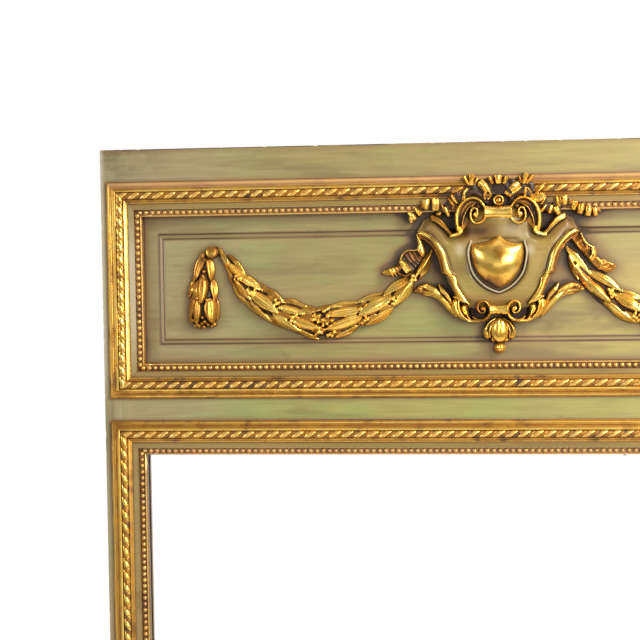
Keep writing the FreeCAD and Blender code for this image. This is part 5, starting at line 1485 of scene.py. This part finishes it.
    # folds at the ends
    R.stroke(gp((49, 364), (57, 371), (64, 377)), [3.4, 4, 3.4], [31.5, 33, 31.5], 28, "round", dirt=0.08)
    R.stroke(gp((51, 371), (58, 376), (66, 381)), [3.4, 4, 3.4], [31.5, 33, 31.5], 28, "round", dirt=0.22)
    R.poly(gp((47, 361), (52, 356), (60, 356), (67, 363), (62, 368.5), (54, 367)),
           lambda d, X, Z: 29.5 + 3.5 * np.clip(d / 3, 0, 1) + 0.24 * (X - 56), 1.0, dirt=0.02)
    R.poly(gp((-50, 366), (-58, 372), (-60, 366), (-56, 358), (-49, 358)), lambda d, X, Z: 28.0 + 1.5 * np.clip(d / 3, 0, 1), 0.8,
           dirt=0.72)
    return R


R = bow()
R.D = np.where(R.H > 0, np.clip(R.D + 0.12, 0, 1), R.D)
place_relief(R, "ribbon_bow", base=Y0 - 17.5, soften=0.8)


def tail(side):
    R = Relief(-134, -52, 322, 376, 0.5) if side < 0 else Relief(52, 148, 322, 378, 0.5)
    if side < 0:
        back_ = [(-55, 369), (-63, 360), (-71, 351), (-80, 348), (-92, 353), (-104, 351), (-112, 345), (-121, 336)]
        bw, bh = [9, 11, 13, 14, 15, 12, 10, 6], [28, 27, 24, 22, 25, 24, 18, 14]
        P = [([(-65, 367), (-61.5, 361), (-57, 355)], [4, 5, 4], [31, 33, 30], 0.0),
             ([(-69, 362.5), (-65, 356.5), (-60.5, 351)], [4, 4.6, 4], [28, 30, 27], .28),
             ([(-74.5, 350), (-71.5, 344), (-68.5, 337)], [5, 6, 5], [27, 28, 24], 0.0),
             ([(-80, 356), (-77, 349), (-74, 344)], [4, 4.6, 4], [26, 26, 23], .45),
             ([(-86, 340.5), (-80, 341)], [4, 5], [22, 23], 0.0),
             ([(-89.5, 363), (-89, 354), (-89, 345)], [6.6, 6.6, 6], [31, 31, 27], .12),
             ([(-84, 362), (-84, 354), (-85, 345.5)], [5, 5.4, 5], [31, 32, 28], 0.0),
             ([(-101, 361), (-100.5, 354), (-100, 347)], [13, 10, 5], [32, 32, 26], 0.0),
             ([(-107, 357), (-105, 350)], [4, 4], [27, 25], .45),
             ([(-115.5, 350), (-112.5, 344.5), (-109, 339)], [5, 6, 5], [23, 25, 22], .06),
             ([(-109, 347), (-106, 342)], [4, 4.4], [20, 21], .25),
             ([(-126, 344), (-120.5, 339), (-115.5, 333.5)], [6, 8, 6.4], [20, 23, 20], .02),
             ([(-123.5, 338), (-122.3, 334), (-121.5, 328.5)], [5, 6.4, 5], [19, 21, 18], 0.0)]
    else:
        back_ = [(55, 369), (62, 360), (66, 350), (74, 345), (84, 351), (94, 355), (106, 350), (118, 344), (132, 340)]
        bw, bh = [10, 12, 12, 13, 15, 13, 12, 11, 8], [28, 27, 24, 22, 25, 25, 20, 16, 12]
        P = [([(66.5, 363), (63.5, 357), (60, 351.5)], [3.4, 4, 3.4], [29, 30, 27], .06),
             ([(67, 351), (63.5, 346), (60, 341)], [4.6, 5.4, 4.6], [24, 25, 22], .20),
             ([(75, 350.5), (73, 344.5), (71.3, 338.5)], [5, 6, 5], [25, 28, 24], .02),
             ([(79.5, 348), (82.5, 342.5), (84.8, 337)], [6.6, 8.6, 6.6], [25, 27, 23], 0.0),
             ([(81.5, 362), (83, 355), (86, 348)], [5, 5.4, 5], [29, 29, 25], .26),
             ([(86.5, 362), (87.5, 355), (89, 349)], [3.4, 4, 3.4], [28, 27, 23], .36),
             ([(93, 363), (92.8, 356), (92.5, 350)], [8, 7.6, 6.4], [32, 32, 27], 0.0),
             ([(99.5, 358), (101, 352)], [5, 5.4], [27, 24], .40),
             ([(107.5, 355.5), (106, 349), (104.5, 343)], [8.4, 8.8, 7.0], [26, 25, 22], .10),
             ([(116.5, 351.5), (115.2, 344.5), (113.5, 337.5)], [9.0, 9.6, 8.0], [25, 27, 23], .30),
             ([(126.0, 348.5), (125.6, 341.3), (124.5, 334.3)], [8.6, 9.4, 8.4], [23, 25, 21], .02),
             ([(134.5, 346.3), (135.2, 340.3), (135.8, 334.3)], [7.2, 8.0, 6.8], [20, 22, 18], .24),
             ([(139.5, 345), (142.5, 340)], [4.4, 3.6], [17, 15], .02)]
    R.stroke(at(back_, -2), bw, bh, 8, "flat", gilt=0.8, dirt=0.76)
    for p, w, h, worn in P:
        R.stroke(at(p, -6), w, h, [k - 5 for k in h], "round", dirt=worn, square=True)
    return R


place_relief(tail(-1), "ribbon_tail_left", soften=0.8)
place_relief(tail(1), "ribbon_tail_right", soften=0.8)


# ---------------------------------------------------------------- frieze panel
def panel():
    fx, fz0, fz1 = 488.0, ZO + 159.0, ZO + 318.5
    bx, b0, b1 = 6.5, 7.0, 7.5
    xi, z0, z1 = 523.7, ZO + 117.5, ZO + 358.2

    def breaks(a, w, s):
        return [a, a + s * 0.12, a + s * 1.0, a + s * (w - 0.95), a + s * (w - 0.85), a + s * (w - 0.05), a + s * w]

    xs = np.r_[np.linspace(-xi, xi, 420), breaks(-fx, bx, 1), breaks(fx, bx, -1)]
    zs = np.r_[np.linspace(z0, z1, 98), breaks(fz0, b0, 1), breaks(fz1, b1, -1)]
    xs, zs = (np.unique(np.round(v, 3)) for v in (xs, zs))

    def thin(v):
        keep = [v[0]]
        for q in v[1:]:
            if q - keep[-1] > 0.09:
                keep.append(q)
        return np.array(keep)

    xs, zs = thin(xs), thin(zs)
    X, Z = np.meshgrid(xs, zs)
    d = np.minimum(np.minimum((fx - np.abs(X)) / bx, (Z - fz0) / b0), (fz1 - Z) / b1) * 6.5
    depth = np.interp(d, [-0.01, 0.0, 0.12, 1.0, 5.55, 5.65, 6.45, 6.5], [0, 0, 0.9, 0.9, 2.6, 2.6, 2.6, 3.0])
    # slow hollows and rises of an old hand-planed surface
    Y = -(20.0 - depth) + 0.05 * np.sin(Z / 17.0 + 0.4 * np.sin(X / 90.0)) * (d > 8)
    # dirt and painted shadow: a halo below and to the left of the carvings, along the sunk border and the pearls
    m = (halo_h > 0) * 1.0
    b_near = blur(m * np.clip(halo_h / 14, 0.4, 1.2), 2.6)
    hh = halo_h / 26.0
    far = blur(hh, 7.0)
    wide = blur(hh, 16.0)
    sh = np.zeros_like(far)
    sh[:-2, :-9] = far[2:, 9:]
    near_s = np.zeros_like(b_near)
    near_s[:-1, :-4] = b_near[1:, 4:]
    # heaviest round the cartouche, and to the left of what stands out, where it is painted shadow cast away from the
    # light on the right
    mid = np.exp(-(HALO_X / 235.0) ** 4)[None, :]
    cast = np.zeros_like(far)
    cast[1:, :-8] = blur(m * np.clip(halo_h / 14, 0.3, 1.2), 4.5)[:-1, 8:]
    over = np.zeros_like(far)
    over[4:, :-3] = b_near[:-4, 3:]
    lower = sstep(HALO_Z, ZO + 238, ZO + 205)[:, None] * sstep(np.abs(HALO_X), 380, 300)[None, :]
    # the darkest painted shadow, with dirt, lies in a narrow band along the upper left of the carvings, wider beside
    # the ribbons
    src = blur(m * np.clip(halo_h / 14, 0.3, 1.0), 2.0)
    band = np.zeros_like(far)
    band[3:, :-4] = src[:-3, 4:]
    side_l = np.zeros_like(far)
    side_l[2:, :-11] = blur(src, 3.0)[:-2, 11:]
    side_r = np.zeros_like(far)
    side_r[:, 9:] = blur(src, 5.0)[:, :-9]
    upper = sstep(HALO_Z, ZO + 240, ZO + 258)[:, None]
    narrow = band * (0.45 + 0.75 * mid) + side_l * upper * sstep(HALO_X, -60, -100)[None, :] * mid
    halo = b_near * 0.46 + near_s * 0.42 + sh * 0.34 + far * (0.18 + 0.12 * mid) + wide * 0.12 + cast * 0.95 * mid + over * 0.60 * mid
    halo = halo + (1 - mid) * (b_near * 0.40 + near_s * 0.25 + far * 0.40 + wide * 0.45)
    halo = halo + side_r * upper * 0.85 * sstep(HALO_X, 70, 100)[None, :] * mid
    halo = 0.92 * (1 - np.exp(-halo * (1.25 - 0.70 * lower)))
    halo = np.maximum(halo, np.clip(1.10 * narrow, 0, 0.97) * (1 - 0.75 * lower))
    i = np.clip((X - HALO_X[0]) / 1.5, 0, len(HALO_X) - 1.001)
    j = np.clip((Z - HALO_Z[0]) / 1.5, 0, len(HALO_Z) - 1.001)
    i0, j0 = i.astype(int), j.astype(int)
    fi, fj = i - i0, j - j0
    g = (halo[j0, i0] * (1 - fi) * (1 - fj) + halo[j0, i0 + 1] * fi * (1 - fj) + halo[j0 + 1, i0] * (1 - fi) * fj
         + halo[j0 + 1, i0 + 1] * fi * fj)
    e1 = np.exp(-np.abs(d - 0.5) / 1.1) * 1.30 + np.exp(-np.abs(d - 6.0) / 1.1) * 1.25
    edge = np.minimum(np.minimum(508.5 - np.abs(X), Z - (FRZ[0] + 50.5)), (FRZ[1] - 50.5) - Z)
    e2 = np.clip(1 - edge / 9.0, 0, 1) ** 1.5 * 0.55 + np.clip(1 - edge / 28.0, 0, 1) * 0.16
    side = np.clip((np.abs(X) - 420) / 110, 0, 1) * 0.12
    low = 0.10 * np.exp(-np.abs(Z - (ZO + 164)) / 14)
    grime_and_shade = np.clip(g + e1 + e2 + side + low, 0, 1)
    ny, nx = X.shape
    V = np.stack([X, Y, Z], -1).reshape(-1, 3)
    a, b = np.meshgrid(np.arange(nx - 1), np.arange(ny - 1))
    F = np.stack([b * nx + a, b * nx + a + 1, (b + 1) * nx + a + 1, (b + 1) * nx + a], -1).reshape(-1, 4)
    # edges, tongue and back as closed rings of the same outline
    ring = np.r_[np.arange(nx), np.arange(1, ny) * nx + nx - 1, (ny - 1) * nx + np.arange(nx - 2, -1, -1),
                 np.arange(ny - 2, 0, -1) * nx]
    k = len(ring)
    P0 = V[ring]
    c = np.array([0, 0, (z0 + z1) / 2])

    def shell(out, y):
        P = P0.copy()
        P[:, 0] = np.sign(P[:, 0]) * np.where(np.abs(np.abs(P0[:, 0]) - xi) < 1e-6, xi + out, np.abs(P0[:, 0]))
        P[:, 2] = np.where(np.abs(P0[:, 2] - z0) < 1e-6, z0 - out, np.where(np.abs(P0[:, 2] - z1) < 1e-6, z1 + out, P0[:, 2]))
        P[:, 1] = y
        return P

    rings = [shell(0, -16.4), shell(7.5, -16.4), shell(7.5, -11.6), shell(0, -11.6), shell(0, -10.5)]
    allv = [V] + rings
    Fs = [F]
    prev = ring
    for q in range(len(rings)):
        cur = len(V) + q * k + np.arange(k)
        Fs.append(np.stack([prev, cur, np.roll(cur, -1), np.roll(prev, -1)], -1)[:, ::-1])
        prev = cur
    VV = np.vstack(allv)
    gr = np.r_[grime_and_shade.ravel(), np.full(k * len(rings), 0.3)]
    ob = new_mesh("v_frieze_panel", VV, Fs + [prev[None, :]], M_GREEN_X, "frame", {"grime_and_shade": gr})
    import bmesh
    bm = bmesh.new()
    bm.from_mesh(ob.data)
    bmesh.ops.recalc_face_normals(bm, faces=bm.faces)
    bm.to_mesh(ob.data)
    bm.free()
    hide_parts("frieze_panel")
    return ob


panel()

def plate():
    x, z0, z1, y0, y1, c = 522.7, 69.0, 1472.1, -20.0, -15.04, 0.4
    rings = [(x - c, z0 + c, z1 - c, y0), (x, z0, z1, y0 + c), (x, z0, z1, y1 - c), (x - c, z0 + c, z1 - c, y1)]
    V, F = [], []
    for a, b, d, y in rings:
        V += [(-a, y, b), (a, y, b), (a, y, d), (-a, y, d)]
    F.append((0, 1, 2, 3))
    for k in range(3):
        for i in range(4):
            j = (i + 1) % 4
            F.append((4 * k + i, 4 * (k + 1) + i, 4 * (k + 1) + j, 4 * k + j))
    F.append((15, 14, 13, 12))
    ob = new_mesh("v_mirror_glass", V, np.array(F), M_GLASS, "frame", smooth=False)
    import bmesh
    bm = bmesh.new()
    bm.from_mesh(ob.data)
    bmesh.ops.recalc_face_normals(bm, faces=bm.faces)
    bm.to_mesh(ob.data)
    bm.free()
    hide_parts("mirror_glass")


plate()

# ---------------------------------------------------------------- finishes of the plain pieces
MATS = {"stile_left": M_GREEN_Z, "stile_right": M_GREEN_Z, "top_rail": M_GREEN_X, "mid_rail": M_GREEN_X,
        "bottom_rail": M_GREEN_X, "frieze_backboard": M_BOARDX, "tenon_pegs": M_HARD, "glazing_blocks": M_HARD,
        "moulding_pins": M_STEEL, "backboard_screws": M_STEEL, "hanger_screws": M_STEEL, "cartouche_screws": M_STEEL,
        "hanger_plates": M_IRON, "hanger_ring_left": M_IRON, "hanger_ring_right": M_IRON, "mirror_glass": M_GLASS,
        "mirror_silvering": M_SILVER}
for i in range(1, 6):
    MATS[f"mirror_backboard_{i}"] = M_BOARD
for name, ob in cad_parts.items():
    m = MATS.get(name)
    if m is None:
        continue
    if not ob.data.materials:
        ob.data.materials.append(m)
    for s in ob.material_slots:
        s.link = "OBJECT"
        s.material = m

# ---------------------------------------------------------------- light, floor, camera
world = bpy.data.worlds.new("studio")
bpy.context.scene.world = world
world.use_nodes = True
nt = world.node_tree
nt.nodes.clear()
wo = nt.nodes.new("ShaderNodeOutputWorld")
bg = nt.nodes.new("ShaderNodeBackground")
tc = nt.nodes.new("ShaderNodeTexCoord")
sp = nt.nodes.new("ShaderNodeSeparateXYZ")
nt.links.new(tc.outputs["Generated"], sp.inputs[0])


def wmath(op, a, b=None, c=None, clamp=False):
    n = nt.nodes.new("ShaderNodeMath")
    n.operation = op
    n.use_clamp = clamp
    for i, v in enumerate((a, b, c)):
        if v is None:
            continue
        if isinstance(v, bpy.types.NodeSocket):
            nt.links.new(v, n.inputs[i])
        else:
            n.inputs[i].default_value = v
    return n.outputs[0]


def wramp(v, lo, hi, a, b):
    n = nt.nodes.new("ShaderNodeMapRange")
    n.interpolation_type = "SMOOTHSTEP"
    for i, q in enumerate((v, lo, hi, a, b)):
        if isinstance(q, bpy.types.NodeSocket):
            nt.links.new(q, n.inputs[i])
        else:
            n.inputs[i].default_value = q
    return n.outputs[0]


yy = sp.outputs[1]
behind = wramp(yy, -0.05, 0.10, 0.0, 1.0)                 # what stands behind the object: white
front = wramp(yy, -0.94, -0.87, 1.0, 0.0)                 # the pale wall the mirror faces
front = wmath("MULTIPLY", front, wramp(sp.outputs[2], -0.125, -0.055, 1.0, 0.0))
front = wmath("MULTIPLY", front, wramp(sp.outputs[2], -0.42, -0.33, 0.0, 1.0))
up = wramp(sp.outputs[2], -0.6, 0.9, 0.15, 0.27)
level = wramp(wmath("ABSOLUTE", wmath("SUBTRACT", sp.outputs[2], 0.02)), 0.05, 0.38, 0.85, 0.0)     # pale walls to either side
level = wmath("MULTIPLY", level, wmath("MAXIMUM", wramp(sp.outputs[0], 0.15, 0.60, 0.52, 1.0),
                                       wramp(sp.outputs[0], -0.70, -0.25, 0.60, 0.52)))
up = wmath("MAXIMUM", up, level)
room = wmath("MAXIMUM", up, wmath("MULTIPLY", front, 1.12))
strength = wmath("ADD", wmath("MULTIPLY", behind, 1.02), wmath("MULTIPLY", wmath("SUBTRACT", 1.0, behind), room))
bg.inputs["Color"].default_value = (1.0, 1.0, 1.0, 1)
nt.links.new(strength, bg.inputs["Strength"])
nt.links.new(bg.outputs[0], wo.inputs[0])


def area(name, az, el, dist, size, watts, colour, target=(0, 0, 1.65)):
    """Soft light; azimuth 0 stands in front, positive to the right."""
    l = bpy.data.lights.new(name, "AREA")
    l.shape = "RECTANGLE"
    l.size, l.size_y = size
    l.energy = watts
    l.color = colour
    ob = bpy.data.objects.new(name, l)
    bpy.context.scene.collection.objects.link(ob)
    a, e = math.radians(az), math.radians(el)
    t = Vector(target)
    p = t + dist * Vector((math.sin(a) * math.cos(e), -math.cos(a) * math.cos(e), math.sin(e)))
    ob.location = p
    ob.rotation_euler = (t - p).to_track_quat("-Z", "Y").to_euler()
    ob.visible_camera = False
    return ob


area("key", 50, 36, 2.2, (0.60, 0.75), 50, (1.0, 0.975, 0.93))
area("window", 35, 7, 2.6, (1.6, 1.2), 54, (1.0, 0.98, 0.94))
area("fill", -57, 16, 3.4, (0.7, 1.2), 30, (0.98, 0.99, 1.0))
area("top", 0, 70, 2.6, (1.6, 0.7), 4, (1.0, 0.98, 0.95))

fl = bpy.data.meshes.new("floor")
fl.from_pydata([(-4, -1.7, -0.0005), (4, -1.7, -0.0005), (4, 3, -0.0005), (-4, 3, -0.0005)], [], [(0, 1, 2, 3)])
fo = bpy.data.objects.new("floor", fl)
bpy.context.scene.collection.objects.link(fo)
nf = Net("pale_floor")
nf.shader((0.80, 0.80, 0.79), 0.7)
fl.materials.append(nf.mat)

cam = bpy.data.cameras.new("camera")
cam.lens, cam.sensor_width = 84.375, 36.0
cam.clip_start, cam.clip_end = 0.05, 50
co = bpy.data.objects.new("camera", cam)
bpy.context.scene.collection.objects.link(co)
yaw, pit, rol = 0.10685, 0.04419, -0.01529
F_ = Vector((-math.sin(yaw) * math.cos(pit), math.cos(yaw) * math.cos(pit), -math.sin(pit)))
r_ = Vector((math.cos(yaw), math.sin(yaw), 0))
u_ = r_.cross(F_)
Rv = math.cos(rol) * r_ + math.sin(rol) * u_
Uv = -math.sin(rol) * r_ + math.cos(rol) * u_
m = Matrix((Rv, Uv, -F_)).transposed().to_4x4()
m.translation = Vector((-0.02552, -2.1579, 1.74658))
co.matrix_world = m
bpy.context.scene.camera = co
bpy.context.scene.view_settings.view_transform = "Standard"
